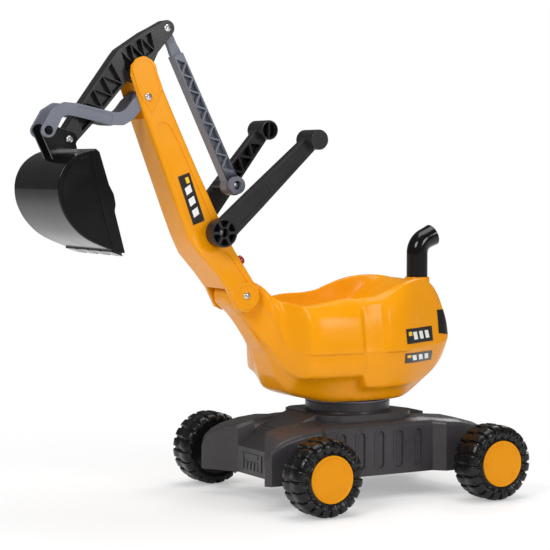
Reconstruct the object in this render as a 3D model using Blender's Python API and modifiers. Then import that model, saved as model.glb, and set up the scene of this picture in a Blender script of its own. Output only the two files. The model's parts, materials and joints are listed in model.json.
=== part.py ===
"""Ride-on toy digger in metres, +Z up, facing -Y, resting on its four tyres.

Every length below is in metres. (y, z) pairs are measured from the swivel axis and the ground.
"""

import math

import bmesh
import bpy
from mathutils import Matrix, Vector

# Running gear
WHEELBASE = 0.317
TRACK = 0.369
TYRE_R = 0.0605
TYRE_W = 0.061
CAP_R = 0.037
LUGS = 20
AXLE_R = 0.005

# Pivots, as (y, z)
BOOM_BASE = (-0.212, 0.331)
LEVER_AXIS = (-0.261, 0.431)
ROD_LOW = (-0.216, 0.504)
ROD_TOP = (-0.334, 0.746)
STICK_AXIS = (-0.382, 0.678)
LINK_AXIS = (-0.3764, 0.6393)
BUCKET_AXIS = (-0.501, 0.574)
LINK_STUB = (-0.5367, 0.5873)
KNOB = (-0.196, 0.3875)

# Swivel
COLLAR_R = 0.0695
COLLAR_TOP = 0.152
HOUSE_BOTTOM = 0.155

# Boom, stick and link widths, as half widths across the machine
CHEEK_IN = 0.0245
CHEEK_OUT = 0.0295
BASE_SLOT = 0.0305
BASE_OUT = 0.0425
NECK = 0.0295
STICK = 0.0115
EAR = (0.0130, 0.0175)
LINK = (0.0185, 0.0235)
HUB = (0.0395, 0.0610)

LEVER_L = 0.212
LEFT_LEAN = math.radians(47)
RIGHT_LEAN = math.radians(40.3)
SPLAY = math.radians(3.6)
GRIP_R = 0.016
GRIP_L = 0.048

GAP = 0.0003
FORWARD_SHIFT = 0.165

for old in list(bpy.data.objects):
    bpy.data.objects.remove(old, do_unlink=True)
digger = bpy.data.collections.new("ride_on_digger")
bpy.context.scene.collection.children.link(digger)
cutters = bpy.data.collections.new("digger_cutters")
cutters.hide_render = True
bpy.context.scene.collection.children.link(cutters)

PIVOTS = {}


def paint(name, colour, roughness, metallic=0.0):
    made = bpy.data.materials.new(name)
    made.use_nodes = True
    shader = made.node_tree.nodes["Principled BSDF"]
    shader.inputs["Base Color"].default_value = (*colour, 1.0)
    shader.inputs["Roughness"].default_value = roughness
    shader.inputs["Metallic"].default_value = metallic
    return made


YELLOW = paint("yellow_polyethylene", (0.91, 0.37, 0.004), 0.35)
DARK = paint("dark_grey_plastic", (0.07, 0.066, 0.07), 0.35)
BLACK = paint("gloss_black_plastic", (0.006, 0.006, 0.007), 0.2)
GREY = paint("grey_plastic", (0.22, 0.23, 0.28), 0.4)
RED = paint("red_plastic", (0.35, 0.008, 0.012), 0.3)
STEEL = paint("zinc_plated_steel", (0.62, 0.63, 0.65), 0.28, 1.0)


def pivot(name, parent, at):
    """An empty on a joint's axis; at is measured from the swivel axis and the ground."""
    empty = bpy.data.objects.new(name, None)
    empty.empty_display_size = 0.02
    digger.objects.link(empty)
    above = PIVOTS.get(parent, Vector((0, 0, 0)))
    PIVOTS[empty] = Vector(at)
    empty.parent = parent
    empty.location = Vector(at) - above
    return empty


def piece(name, mesh, owner, look):
    obj = bpy.data.objects.new(name, mesh)
    mesh.name = name
    mesh.transform(Matrix.Translation(-PIVOTS[owner]))
    mesh.materials.clear()
    mesh.materials.append(look)
    digger.objects.link(obj)
    obj.parent = owner
    return obj


def combine(obj, operation, *meshes):
    """Joins meshes to an object, or cuts them from it."""
    for mesh in meshes:
        name = f"{obj.name}_{operation.lower()}_{len(obj.modifiers)}"
        tool = bpy.data.objects.new(name, mesh)
        mesh.transform(Matrix.Translation(-PIVOTS[obj.parent]))
        cutters.objects.link(tool)
        tool.parent = obj.parent
        tool.display_type = "WIRE"
        tool.hide_render = True
        step = obj.modifiers.new(operation.title(), "BOOLEAN")
        step.operation = operation
        step.solver = "EXACT"
        step.object = tool


def cut(obj, *meshes):
    combine(obj, "DIFFERENCE", *meshes)


def join(obj, *meshes):
    combine(obj, "UNION", *meshes)


def baked(obj):
    """The mesh that an object's modifiers or curve settings make, welded and facing out."""
    digger.objects.link(obj)
    bpy.context.view_layer.update()
    graph = bpy.context.evaluated_depsgraph_get()
    mesh = bpy.data.meshes.new_from_object(obj.evaluated_get(graph))
    bpy.data.objects.remove(obj, do_unlink=True)
    return welded(mesh)


def welded(mesh):
    bm = bmesh.new()
    bm.from_mesh(mesh)
    bmesh.ops.remove_doubles(bm, verts=bm.verts, dist=1e-6)
    bmesh.ops.recalc_face_normals(bm, faces=bm.faces)
    bm.to_mesh(mesh)
    bm.free()
    return mesh


AXES = {
    "X": Matrix(((0, 0, 1), (1, 0, 0), (0, 1, 0))).to_4x4(),
    "Y": Matrix(((1, 0, 0), (0, 0, 1), (0, 1, 0))).to_4x4(),
    "Z": Matrix.Identity(4),
}


def prism(points, low, high, axis="X", chamfer=0.0):
    """A flat outline pushed from low to high. Axis X takes (y, z), Y takes (x, z), Z takes (x, y)."""
    curve = bpy.data.curves.new("outline", "CURVE")
    curve.dimensions = "2D"
    curve.fill_mode = "BOTH"
    curve.extrude = (high - low) / 2 - chamfer
    curve.bevel_depth = chamfer
    curve.bevel_resolution = 0
    curve.offset = -chamfer
    spline = curve.splines.new("POLY")
    spline.points.add(len(points) - 1)
    for point, (u, v) in zip(spline.points, points):
        point.co = (u, v, 0, 1)
    spline.use_cyclic_u = True
    mesh = baked(bpy.data.objects.new("outline", curve))
    mesh.transform(AXES[axis] @ Matrix.Translation((0, 0, (low + high) / 2)))
    return welded(mesh)


def turned(profile, axis, at, steps):
    """A profile of (radius, height) turned about an axis line through at."""
    edges = [(i, i + 1) for i in range(len(profile) - 1)]
    if profile[0][0] > 0 and profile[-1][0] > 0:
        edges.append((len(profile) - 1, 0))
    mesh = bpy.data.meshes.new("profile")
    mesh.from_pydata([(r, 0, h) for r, h in profile], edges, [])
    obj = bpy.data.objects.new("profile", mesh)
    screw = obj.modifiers.new("Screw", "SCREW")
    screw.steps = steps
    screw.render_steps = steps
    screw.use_merge_vertices = True
    screw.merge_threshold = 0.00001
    mesh = baked(obj)
    turn = {"X": Matrix.Rotation(math.pi / 2, 4, "Y"), "Y": Matrix.Rotation(-math.pi / 2, 4, "X")}
    mesh.transform(Matrix.Translation(at) @ turn.get(axis, Matrix.Identity(4)))
    return mesh


def rod(yz, low, high, radius, steps=16):
    """A round bar across the machine at yz, from x = low to x = high."""
    return bar((low, *yz), (high, *yz), radius, steps)


def bar(start, end, radius, steps=16, radius2=None):
    start, end = Vector(start), Vector(end)
    bm = bmesh.new()
    bmesh.ops.create_cone(
        bm,
        cap_ends=True,
        segments=steps,
        radius1=radius,
        radius2=radius if radius2 is None else radius2,
        depth=(end - start).length,
    )
    turn = Vector((0, 0, 1)).rotation_difference(end - start).to_matrix().to_4x4()
    bmesh.ops.transform(bm, matrix=Matrix.Translation((start + end) / 2) @ turn, verts=bm.verts)
    mesh = bpy.data.meshes.new("bar")
    bm.to_mesh(mesh)
    bm.free()
    return mesh


def box(low, high):
    size = Vector(high) - Vector(low)
    bm = bmesh.new()
    bmesh.ops.create_cube(bm, size=1.0)
    bmesh.ops.scale(bm, vec=size, verts=bm.verts)
    bmesh.ops.translate(bm, vec=Vector(low) + size / 2, verts=bm.verts)
    mesh = bpy.data.meshes.new("box")
    bm.to_mesh(mesh)
    bm.free()
    return mesh


def many(meshes):
    """Several meshes that don't touch, as one cutter."""
    bm = bmesh.new()
    for mesh in meshes:
        bm.from_mesh(mesh)
    made = bpy.data.meshes.new("many")
    bm.to_mesh(made)
    bm.free()
    return made


def moved(mesh, matrix):
    mesh.transform(matrix)
    return mesh


def loft(rings):
    """A skin through rings of (x, y, z) points, with a flat face at each end."""
    bm = bmesh.new()
    rows = [[bm.verts.new(point) for point in ring] for ring in rings]
    count = len(rows[0])
    for near, far in zip(rows, rows[1:]):
        for i in range(count):
            j = (i + 1) % count
            bm.faces.new((near[i], near[j], far[j], far[i]))
    bm.faces.new(reversed(rows[0]))
    bm.faces.new(rows[-1])
    mesh = bpy.data.meshes.new("loft")
    bm.to_mesh(mesh)
    bm.free()
    return welded(mesh)


def arc(centre, radius, start, end, count):
    """Points on a circle from start to end degrees, anticlockwise from the first axis."""
    points = []
    for i in range(count + 1):
        angle = math.radians(start + (end - start) * i / count)
        points.append((centre[0] + radius * math.cos(angle), centre[1] + radius * math.sin(angle)))
    return points


def both_sides(points):
    """A plan outline from the points of its +X half, which run from front to rear."""
    return points + [(-x, y) for x, y in reversed(points)]


def between(a, b, t, aside=0.0):
    """The point a fraction t of the way from a to b, moved aside to the left of that way."""
    ax, ay = a
    dx, dy = b[0] - ax, b[1] - ay
    length = math.hypot(dx, dy)
    return (ax + dx * t - dy / length * aside, ay + dy * t + dx / length * aside)


def truss(a, b, wide_a, wide_b, cells, low, high, wall=0.0018):
    """Triangular pockets between a and b, leaving a zigzag of ribs, as one cutter."""
    made = []
    for i in range(cells):
        side = 1 if i % 2 else -1
        t0, t1, t2 = i / cells, (i + 1) / cells, (i + 2) / cells
        if t2 > 1:
            break
        corners = []
        for t, s in ((t0, side), (t2, side), (t1, -side)):
            half = wide_a + (wide_b - wide_a) * t
            corners.append(Vector(between(a, b, t, s * half)))
        middle = sum(corners, Vector((0, 0))) / 3
        shrink = 1 - 2.2 * wall / min((corner - middle).length for corner in corners)
        pocket = [tuple(middle + (corner - middle) * shrink) for corner in corners]
        made.append(prism(pocket, low, high))
    return many(made)


def bolt(name, owner, yz, near, far, radius=0.003, head=0.0058, dome=0.0032, nut=True):
    """A bolt through faces at x = near and x = far: its domed head is at near, its nut at far."""
    length = near - far + 0.0065
    profile = [(0, dome), (head * 0.6, dome * 0.85), (head, dome * 0.2), (head, 0), (radius, 0)]
    profile += [(radius, -length), (0, -length)]
    piece(name, turned(profile, "X", (near + GAP, *yz), 12), owner, STEEL)
    if nut:
        hexagon = rod(yz, far - GAP - 0.0045, far - GAP, head * 0.98, 6)
        made = piece(f"{name}_nut", hexagon, owner, STEEL)
        cut(made, rod(yz, far - 0.02, far + 0.02, radius + GAP, 12))


root = pivot("digger_root", None, (0, 0, 0))
root.location = (0, FORWARD_SHIFT, 0)
house = pivot("house_swivel_axis", root, (0, 0, HOUSE_BOTTOM))
boom = pivot("boom_lift_axis", house, (0, *BOOM_BASE))
lever = pivot("lever_swing_axis", boom, (0, *LEVER_AXIS))
rod_end = pivot("rod_swing_axis", lever, (0, *ROD_LOW))
stick = pivot("stick_swing_axis", boom, (0, *STICK_AXIS))
link = pivot("link_swing_axis", boom, (0, *LINK_AXIS))
bucket = pivot("bucket_curl_axis", stick, (0, *BUCKET_AXIS))
knob = pivot("lock_knob_axis", boom, (0, *KNOB))

# Undercarriage: one moulded cover, open below, its four arms splayed round a lower spine
# y, half width, arm top z, spine top z
COVER = (
    (0.2150, 0.106, 0.087, 0.070),
    (0.2080, 0.115, 0.097, 0.073),
    (0.1960, 0.116, 0.107, 0.077),
    (0.1800, 0.116, 0.114, 0.082),
    (0.1500, 0.116, 0.121, 0.101),
    (0.1495, 0.116, 0.121, 0.107),
    (0.1180, 0.116, 0.124, 0.122),
    (0.1020, 0.100, 0.125, 0.129),
    (0.0880, 0.100, 0.126, 0.134),
)
COVER = [(-y, *rest) for y, *rest in COVER] + list(reversed(COVER))
BOTTOM = 0.039
SPINE = 0.044
ARM_TIP = (0.104, 0.2150)
WALL = 0.0035


def cover_ring(station):
    y, half, top, spine = station
    side = [(half, BOTTOM), (half, top - 0.022), (half - 0.005, top - 0.007), (half - 0.020, top)]
    side += [(SPINE + 0.002, top + 0.002), (SPINE, spine)]
    return [(x, y, z) for x, z in side] + [(-x, y, z) for x, z in reversed(side)]


def arm_hollow_ring(station, sign):
    y, half, top, spine = station
    inside = SPINE + WALL + max(abs(y) - 0.176, 0) * (ARM_TIP[0] - SPINE) / (ARM_TIP[1] - 0.180)
    y = math.copysign(abs(y) - (WALL if abs(y) > 0.19 else 0), y)
    half, top = half - WALL, min(top, spine + 0.03) - WALL
    side = [(inside, 0.02), (half, 0.02), (half, top - 0.022), (half - 0.003, top - 0.008)]
    side += [(max(half - 0.017, inside + 0.001), top - 0.001), (inside, top - 0.001)]
    return [(sign * x, y, z) for x, z in side]


chassis = piece("chassis_cover", loft([cover_ring(s) for s in COVER]), root, DARK)
for end in (-1, 1):
    notch = [(-SPINE, 0.180 * end), (SPINE, 0.180 * end), (ARM_TIP[0] + 0.012, 0.2219 * end)]
    notch += [(-ARM_TIP[0] - 0.012, 0.2219 * end)]
    cut(chassis, prism(notch, 0.02, 0.15, "Z"))
flange = [(0.062, -0.084), (0.084, -0.062)]
flange += [(x, -y) for x, y in reversed(flange)]
join(chassis, prism(both_sides(flange), 0.118, 0.136, "Z"))
join(chassis, bar((0, 0, 0.130), (0, 0, COLLAR_TOP), COLLAR_R, 36))
for sign in (-1, 1):
    cut(chassis, loft([arm_hollow_ring(s, sign) for s in COVER[1:-1]]))
inner = [(-0.1765, 0.02), (-0.1765, 0.078), (-0.147, 0.0975), (-0.088, 0.129)]
inner += [(-y, z) for y, z in reversed(inner)]
cut(chassis, prism(inner, -0.0405, 0.0405))
cut(chassis, bar((0, 0, 0.10), (0, 0, COLLAR_TOP - 0.0045), COLLAR_R - 0.004, 36))
long_rib = [(-0.178, 0.045), (-0.178, 0.078), (-0.147, 0.098), (-0.090, 0.124)]
long_rib += [(-y, z) for y, z in reversed(long_rib)]
join(chassis, prism(long_rib, -0.0015, 0.0015))
cross_rib = [(0.0975, 0.045), (0.0975, 0.103), (0.093, 0.117), (0.080, 0.123), (0.046, 0.124)]
cross_rib += [(-x, z) for x, z in reversed(cross_rib)]
for y in (-0.075, 0.0, 0.075):
    join(chassis, prism(cross_rib, y - 0.0015, y + 0.0015, "Y"))
axles = [(s * WHEELBASE / 2, TYRE_R) for s in (-1, 1)]
tube = TRACK / 2 - TYRE_W / 2 - 0.001
for at, place in zip(axles, ("front", "rear")):
    cut(chassis, rod(at, -0.2, 0.2, 0.012 + GAP, 16))
    sleeve = piece(f"{place}_axle_sleeve", rod(at, -tube, tube, 0.012, 16), root, DARK)
    cut(sleeve, rod(at, -0.2, 0.2, AXLE_R + GAP, 16))
cut(chassis, bar((0, 0, 0.14), (0, 0, 0.16), 0.0055, 16))
slots = []
for i in range(5):
    y = 0.04 * (i - 2)
    shape = [(y + 0.005, 0.108), (y - 0.005, 0.108)] + arc((y, 0.056), 0.005, 180, 360, 4)
    slots.append(prism(shape, 0.0978, 0.11))
    slots.append(prism(shape, -0.11, -0.0978))
cut(chassis, many(slots))

# Swivel
ring = [(0.020, 0.0), (COLLAR_R - 0.001, 0.0), (COLLAR_R - 0.001, 0.0024), (0.020, 0.0024)]
piece("swivel_slip_ring", turned(ring, "Z", (0, 0, COLLAR_TOP + GAP), 32), root, GREY)
king = [(0, 0.0045), (0.009, 0.0045), (0.009, 0), (0.005, 0), (0.005, -0.0165), (0, -0.0165)]
piece("king_bolt", turned(king, "Z", (0, 0, HOUSE_BOTTOM + 0.0036), 16), root, STEEL)
king_nut = piece("king_bolt_nut", bar((0, 0, 0.1432), (0, 0, 0.1472), 0.009, 6), root, STEEL)
cut(king_nut, bar((0, 0, 0.13), (0, 0, 0.16), 0.005 + GAP, 16))

# Axles and wheels
for at, place in zip(axles, ("front", "rear")):
    reach = TRACK / 2 + 0.0215
    piece(f"{place}_axle", rod(at, -reach, reach, AXLE_R, 16), root, STEEL)

TYRE = [(0.0056, 0.0160), (0.0378, 0.0160), (0.0378, 0.0295), (0.0500, 0.0285), (0.0605, 0.0170)]
TYRE += [(0.0605, -0.0170), (0.0500, -0.0285), (0.0056, -0.0305)]
HOLLOW = [(0.0, 0.0125), (0.0410, 0.0125), (0.0560, 0.0150), (0.0560, -0.0150), (0.0470, -0.0250)]
HOLLOW += [(0.0, -0.0265)]
CAP = [(0, 0.0285), (0.0330, 0.0285), (0.0342, 0.0300), (CAP_R, 0.0292), (CAP_R, 0.0255), (0, 0.0255)]


def groove_ring(centre):
    grooves = []
    for i in range(LUGS):
        block = box((-0.04, -0.0032, TYRE_R - 0.0042), (0.04, 0.0032, TYRE_R + 0.01))
        grooves.append(moved(block, Matrix.Rotation(2 * math.pi * (i + 0.5) / LUGS, 4, "X")))
    return moved(many(grooves), Matrix.Translation(centre))


for at, row in zip(axles, ("front", "rear")):
    for sign, hand in ((1, "left"), (-1, "right")):
        centre = Vector((sign * TRACK / 2, *at))
        spin = pivot(f"{row}_{hand}_wheel_axis", root, centre)
        out = [(r, sign * h) for r, h in TYRE]
        tyre = piece(f"tyre_{row}_{hand}", turned(out, "X", centre, 2 * LUGS), spin, BLACK)
        cut(tyre, turned([(r, sign * h) for r, h in HOLLOW], "X", centre, 12))
        cut(tyre, groove_ring(centre))
        cap = turned([(r, sign * h) for r, h in CAP], "X", centre, 28)
        piece(f"hub_cap_{row}_{hand}", cap, spin, YELLOW)
        clip = rod(at, sign * (TRACK / 2 + 0.0165), sign * (TRACK / 2 + 0.0185), 0.011, 16)
        retainer = piece(f"axle_clip_{row}_{hand}", clip, root, STEEL)
        cut(retainer, rod(at, -0.25, 0.25, AXLE_R + GAP, 16))

# House: hollow skin lofted from the neck tip to the tail
# y, bottom z, bottom half, shelf z, shelf half, waist z, waist half, rim z, rim half, seat z
STATIONS = (
    (-0.2370, 0.3230, 0.015, 0.3240, 0.024, 0.3310, 0.026, 0.3390, 0.022, 0.3400),
    (-0.2270, 0.3090, 0.020, 0.3120, NECK, 0.3310, NECK, 0.3480, 0.026, 0.3505),
    (-0.2120, 0.3000, 0.020, 0.3030, NECK, 0.3310, NECK, 0.3535, 0.026, 0.3565),
    (-0.1930, 0.2720, 0.022, 0.2780, NECK, 0.3250, NECK, 0.3520, 0.026, 0.3550),
    (-0.1840, 0.2600, 0.024, 0.2660, NECK, 0.3150, NECK, 0.3480, 0.026, 0.3520),
    (-0.1750, 0.2480, 0.026, 0.2550, 0.036, 0.3060, 0.039, 0.3410, 0.032, 0.3465),
    (-0.1640, 0.2320, 0.028, 0.2400, 0.043, 0.2900, 0.048, 0.3280, 0.040, 0.3345),
    (-0.1520, 0.2000, 0.032, 0.2150, 0.056, 0.2500, 0.064, 0.3180, 0.052, 0.3235),
    (-0.1360, 0.1740, 0.045, 0.2010, 0.092, 0.2390, 0.097, 0.3140, 0.084, 0.3175),
    (-0.1100, 0.1640, 0.060, 0.2010, 0.106, 0.2390, 0.109, 0.3140, 0.097, 0.3110),
    (-0.0750, HOUSE_BOTTOM, 0.073, 0.2010, 0.111, 0.2390, 0.114, 0.3140, 0.101, 0.3000),
    (-0.0400, HOUSE_BOTTOM, 0.079, 0.2010, 0.113, 0.2390, 0.116, 0.3150, 0.102, 0.2980),
    (-0.0280, HOUSE_BOTTOM, 0.080, 0.1830, 0.112, 0.2390, 0.119, 0.3180, 0.104, 0.2980),
    (0.0000, HOUSE_BOTTOM, 0.080, 0.1815, 0.113, 0.2390, 0.121, 0.3240, 0.106, 0.2985),
    (0.0350, HOUSE_BOTTOM, 0.078, 0.1815, 0.110, 0.2390, 0.120, 0.3355, 0.103, 0.3010),
    (0.0600, HOUSE_BOTTOM, 0.072, 0.1820, 0.099, 0.2390, 0.109, 0.3450, 0.092, 0.3150),
    (0.0860, 0.1620, 0.056, 0.1840, 0.084, 0.2390, 0.096, 0.3510, 0.076, 0.3430),
    (0.1100, 0.1740, 0.045, 0.1900, 0.070, 0.2400, 0.084, 0.3490, 0.062, 0.3505),
    (0.1340, 0.1870, 0.040, 0.2020, 0.060, 0.2420, 0.074, 0.3400, 0.050, 0.3420),
    (0.1520, 0.2070, 0.035, 0.2180, 0.052, 0.2460, 0.064, 0.3150, 0.046, 0.3210),
    (0.1640, 0.2280, 0.030, 0.2340, 0.044, 0.2520, 0.053, 0.2800, 0.044, 0.2860),
    (0.1695, 0.2420, 0.020, 0.2450, 0.032, 0.2550, 0.038, 0.2650, 0.032, 0.2680),
)


def house_ring(station):
    y, low, low_w, shelf, shelf_w, waist, waist_w, rim, rim_w, seat = station
    lip = min(0.012, 0.3 * rim_w)
    upper = waist_w + (rim_w - waist_w) * 0.35
    half = [(low_w, low), (shelf_w, shelf), (waist_w, waist), (upper, waist + (rim - waist) * 0.72)]
    half += [(rim_w, rim), (rim_w - lip, rim + 0.0015), (rim_w - 2.2 * lip, seat)]
    return [(x, y, z) for x, z in half] + [(-x, y, z) for x, z in reversed(half)]


house_shell = piece("house_shell", loft([house_ring(s) for s in STATIONS]), house, YELLOW)
skin = house_shell.modifiers.new("Skin", "SOLIDIFY")
skin.thickness = 0.003
skin.offset = -1.0
join(house_shell, bar((0, 0.137, 0.325), (0, 0.137, 0.349), 0.0205, 20))
cut(house_shell, bar((0, 0.137, 0.332), (0, 0.137, 0.36), 0.0182, 20))
cut(house_shell, bar((0, 0, 0.15), (0, 0, 0.17), 0.0058, 16))
cut(house_shell, rod(BOOM_BASE, -0.05, 0.05, 0.0033, 16))

pipe_curve = bpy.data.curves.new("exhaust", "CURVE")
pipe_curve.dimensions = "3D"
pipe_curve.bevel_depth = 0.0178
pipe_curve.bevel_resolution = 3
pipe_curve.use_fill_caps = True
path = [(0.137, 0.3325), (0.137, 0.392)]
path += [(0.157 - 0.02 * math.cos(a), 0.392 + 0.02 * math.sin(a)) for a in (0.4, 0.8, 1.15)]
path += [(0.1675, 0.4185)]
track = pipe_curve.splines.new("POLY")
track.points.add(len(path) - 1)
for point, (y, z) in zip(track.points, path):
    point.co = (0, y, z, 1)
exhaust = piece("exhaust_pipe", baked(bpy.data.objects.new("exhaust", pipe_curve)), house, BLACK)
mouth = Vector((0, 0.1675, 0.4185))
along = Vector((0, math.cos(0.42), math.sin(0.42)))
cut(exhaust, bar(mouth - along * 0.012, mouth + along * 0.01, 0.0150, 16))

# Boom: hollow arm, forked at the head and round the neck of the house
# front y, front z, rear y, rear z, half width
BOOM = (
    (-0.2170, 0.3050, -0.2050, 0.3060, BASE_OUT),
    (-0.2290, 0.3110, -0.1930, 0.3130, BASE_OUT),
    (-0.2360, 0.3250, -0.1868, 0.3240, BASE_OUT),
    (-0.2440, 0.3410, -0.1868, 0.3380, BASE_OUT),
    (-0.2660, 0.3690, -0.2000, 0.3560, BASE_OUT),
    (-0.2920, 0.3970, -0.2130, 0.3770, 0.0405),
    (-0.3020, 0.4120, -0.2270, 0.4010, 0.0355),
    (-0.3100, 0.4260, -0.2400, 0.4260, 0.0330),
    (-0.3250, 0.4630, -0.2580, 0.4610, 0.0322),
    (-0.3490, 0.5250, -0.2910, 0.5280, 0.0313),
    (-0.3660, 0.5690, -0.3110, 0.5700, 0.0306),
    (-0.3800, 0.6060, -0.3300, 0.6110, 0.0300),
    (-0.3940, 0.6440, -0.3500, 0.6550, CHEEK_OUT),
    (-0.4040, 0.6720, -0.3600, 0.6720, CHEEK_OUT),
    (-0.4030, 0.6860, -0.3615, 0.6870, CHEEK_OUT),
    (-0.3950, 0.6960, -0.3690, 0.6965, CHEEK_OUT),
    (-0.3860, 0.7003, -0.3780, 0.7003, CHEEK_OUT),
)
BASE_CUT = [(-0.2445, 0.3425), (-0.28, 0.335), (-0.28, 0.28), (-0.16, 0.28), (-0.16, 0.362)]
BASE_CUT += [(-0.192, 0.362)] + arc(BOOM_BASE, 0.0315, 75, 150, 4)


def boom_ring(station, wall=0.0):
    fy, fz, ry, rz, half = station
    front, rear = Vector((fy, fz)), Vector((ry, rz))
    along = (rear - front).normalized()
    front, rear, half = front + along * wall, rear - along * wall, half - wall
    edge = min(0.0045, (rear - front).length * 0.3)
    side = [(half - edge, front), (half, front + along * edge), (half, rear - along * edge)]
    side += [(half - edge, rear)]
    return [(x, *at) for x, at in side] + [(-x, *at) for x, at in reversed(side)]


def panel_ring(station, sign):
    fy, fz, ry, rz, half = station
    front, rear = between((fy, fz), (ry, rz), 0.30), between((fy, fz), (ry, rz), 0.80)
    low, high = sign * (half - 0.0012), sign * (half + 0.01)
    return [(low, *front), (high, *front), (high, *rear), (low, *rear)]


boom_shell = piece("boom_shell", loft([boom_ring(s) for s in BOOM]), boom, YELLOW)
cut(boom_shell, loft([boom_ring(s, 0.0035) for s in BOOM[4:13]]))
cut(boom_shell, prism(BASE_CUT, -BASE_SLOT, BASE_SLOT))
cut(boom_shell, box((-CHEEK_IN, -0.45, 0.606), (CHEEK_IN, -0.30, 0.74)))
HEAD = arc(STICK_AXIS, 0.0210, 175, 0, 8)
HEAD += [(-0.3515, 0.6535), (-0.3700, 0.6140), (-0.3910, 0.6440)]
join(boom_shell, prism(HEAD, CHEEK_OUT - 0.002, CHEEK_OUT + 0.0015))
join(boom_shell, prism(HEAD, -CHEEK_OUT - 0.0015, -CHEEK_OUT + 0.002))
join(boom_shell, rod(LEVER_AXIS, -HUB[0] + GAP, HUB[0] - GAP, 0.017, 20))
cut(boom_shell, rod(LEVER_AXIS, -0.05, 0.05, 0.0043, 16))
cut(boom_shell, rod(STICK_AXIS, -CHEEK_OUT + 0.002, CHEEK_OUT - 0.002, 0.0045, 16))
cut(boom_shell, rod(LINK_AXIS, -0.05, 0.05, 0.0033, 16))
cut(boom_shell, rod(BOOM_BASE, -0.06, 0.06, 0.0033, 16))
for sign in (-1, 1):
    cut(boom_shell, loft([panel_ring(s, sign) for s in BOOM[8:12]]))
inward = Vector((0, -math.cos(0.46), -math.sin(0.46)))
knob_at = Vector((0, *KNOB))
cut(boom_shell, bar(knob_at + inward * 0.002, knob_at + inward * 0.030, 0.0080, 20))
bolt("boom_base_bolt", boom, BOOM_BASE, BASE_OUT, -BASE_OUT)
bolt("link_bolt", boom, LINK_AXIS, CHEEK_OUT + 0.0015, -CHEEK_OUT - 0.0015)
pin_half = CHEEK_OUT - 0.0023
piece("stick_pivot_pin", rod(STICK_AXIS, -pin_half, pin_half, 0.0042, 16), boom, STEEL)

lock = piece("lock_knob", bar(knob_at, knob_at + inward * 0.033, 0.0075, 20), knob, RED)
join(lock, bar(knob_at + inward * 0.030, knob_at + inward * 0.033, 0.0092, 20))


def lever_arm(name, owner, lean, sign, crank):
    """A hub, a tapered arm with a ribbed inner face, and a T grip; crank adds the push rod's boss."""
    tip = (LEVER_AXIS[0] + LEVER_L * math.sin(lean), LEVER_AXIS[1] + LEVER_L * math.cos(lean))
    low, high = 0.0425, 0.0585
    at_hub = Matrix.Translation((0, *LEVER_AXIS))
    splay = Matrix.Rotation(sign * -SPLAY, 4, (0, -math.cos(lean), math.sin(lean)))
    slope = at_hub @ splay @ at_hub.inverted()
    ends = sorted((sign * low, sign * high))
    shape = [between(LEVER_AXIS, tip, t, s) for t, s in ((0.0, 0.0185), (0.35, 0.0170), (1.0, 0.0125))]
    shape += [between(LEVER_AXIS, tip, t, -s) for t, s in ((1.0, 0.0125), (0.35, 0.0170), (0.0, 0.0185))]
    hub_ends = sorted((sign * HUB[0], sign * HUB[1]))
    obj = piece(name, rod(LEVER_AXIS, *hub_ends, 0.0225, 28), owner, DARK)
    join(obj, moved(prism(shape, *ends), slope))
    if crank:
        join(obj, rod(ROD_LOW, -0.0500, -0.0110, 0.0092, 16))
    inner_face = sorted((sign * (low - 0.01), sign * (high - 0.0035)))
    first, wide, cells = (0.50, 0.0135, 5) if crank else (0.13, 0.0155, 9)
    start, end = between(LEVER_AXIS, tip, first), between(LEVER_AXIS, tip, 0.92)
    cut(obj, moved(truss(start, end, wide, 0.0105, cells, *inner_face), slope))
    grip_x = sign * (sum((low, high)) / 2 + LEVER_L * math.sin(SPLAY))
    join(obj, rod(tip, grip_x - GRIP_L / 2, grip_x + GRIP_L / 2, GRIP_R, 24))
    bore = sorted((sign * 0.0475, sign * (HUB[1] + 0.01)))
    for i in range(6):
        wedge = arc(LEVER_AXIS, 0.0195, 60 * i + 7, 60 * i + 53, 3)
        wedge += arc(LEVER_AXIS, 0.0085, 60 * i + 45, 60 * i + 15, 1)
        cut(obj, prism(wedge, *bore))
    cut(obj, rod(LEVER_AXIS, *bore, 0.0072, 16))
    cut(obj, rod(LEVER_AXIS, -0.1, 0.1, 0.0043, 16))
    hollow = sorted((grip_x - sign * (GRIP_L / 2 + 0.01), grip_x - sign * (GRIP_L / 2 - 0.014)))
    cut(obj, rod(tip, *hollow, GRIP_R - 0.003, 20))
    if crank:
        cut(obj, rod(ROD_LOW, -0.0360, 0.1, 0.0033, 12))


lever_arm("lever_left", boom, LEFT_LEAN, 1, False)
lever_arm("lever_right", lever, RIGHT_LEAN, -1, True)
bolt("lever_bolt", boom, LEVER_AXIS, 0.0475, -0.0475, 0.004, 0.0068)

# Push rod: ribbed beam from the right lever's crank to the tail of the stick
rod_obj = piece("push_rod", rod(ROD_LOW, -0.0105, 0.0105, 0.0160, 24), rod_end, GREY)
beam = ((0.02, 0.0105), (0.835, 0.0088), (0.835, -0.0088), (0.02, -0.0105))
join(rod_obj, prism([between(ROD_LOW, ROD_TOP, t, s) for t, s in beam], -0.0105, 0.0105))
tongue = ((0.81, 0.0075), (1.0, 0.0075), (1.0, -0.0075), (0.81, -0.0075))
join(rod_obj, prism([between(ROD_LOW, ROD_TOP, t, s) for t, s in tongue], -0.0045, 0.0045))
join(rod_obj, rod(ROD_TOP, -0.0045, 0.0045, 0.0090, 20))
low_end, high_end = between(ROD_LOW, ROD_TOP, 0.075), between(ROD_LOW, ROD_TOP, 0.825)
for face in ((0.0025, 0.02), (-0.02, -0.0025)):
    cut(rod_obj, truss(low_end, high_end, 0.0088, 0.0070, 12, *face, wall=0.0009))
cut(rod_obj, rod(ROD_LOW, -0.05, 0.05, 0.0033, 16))
cut(rod_obj, rod(ROD_TOP, -0.05, 0.05, 0.0045, 16))
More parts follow.
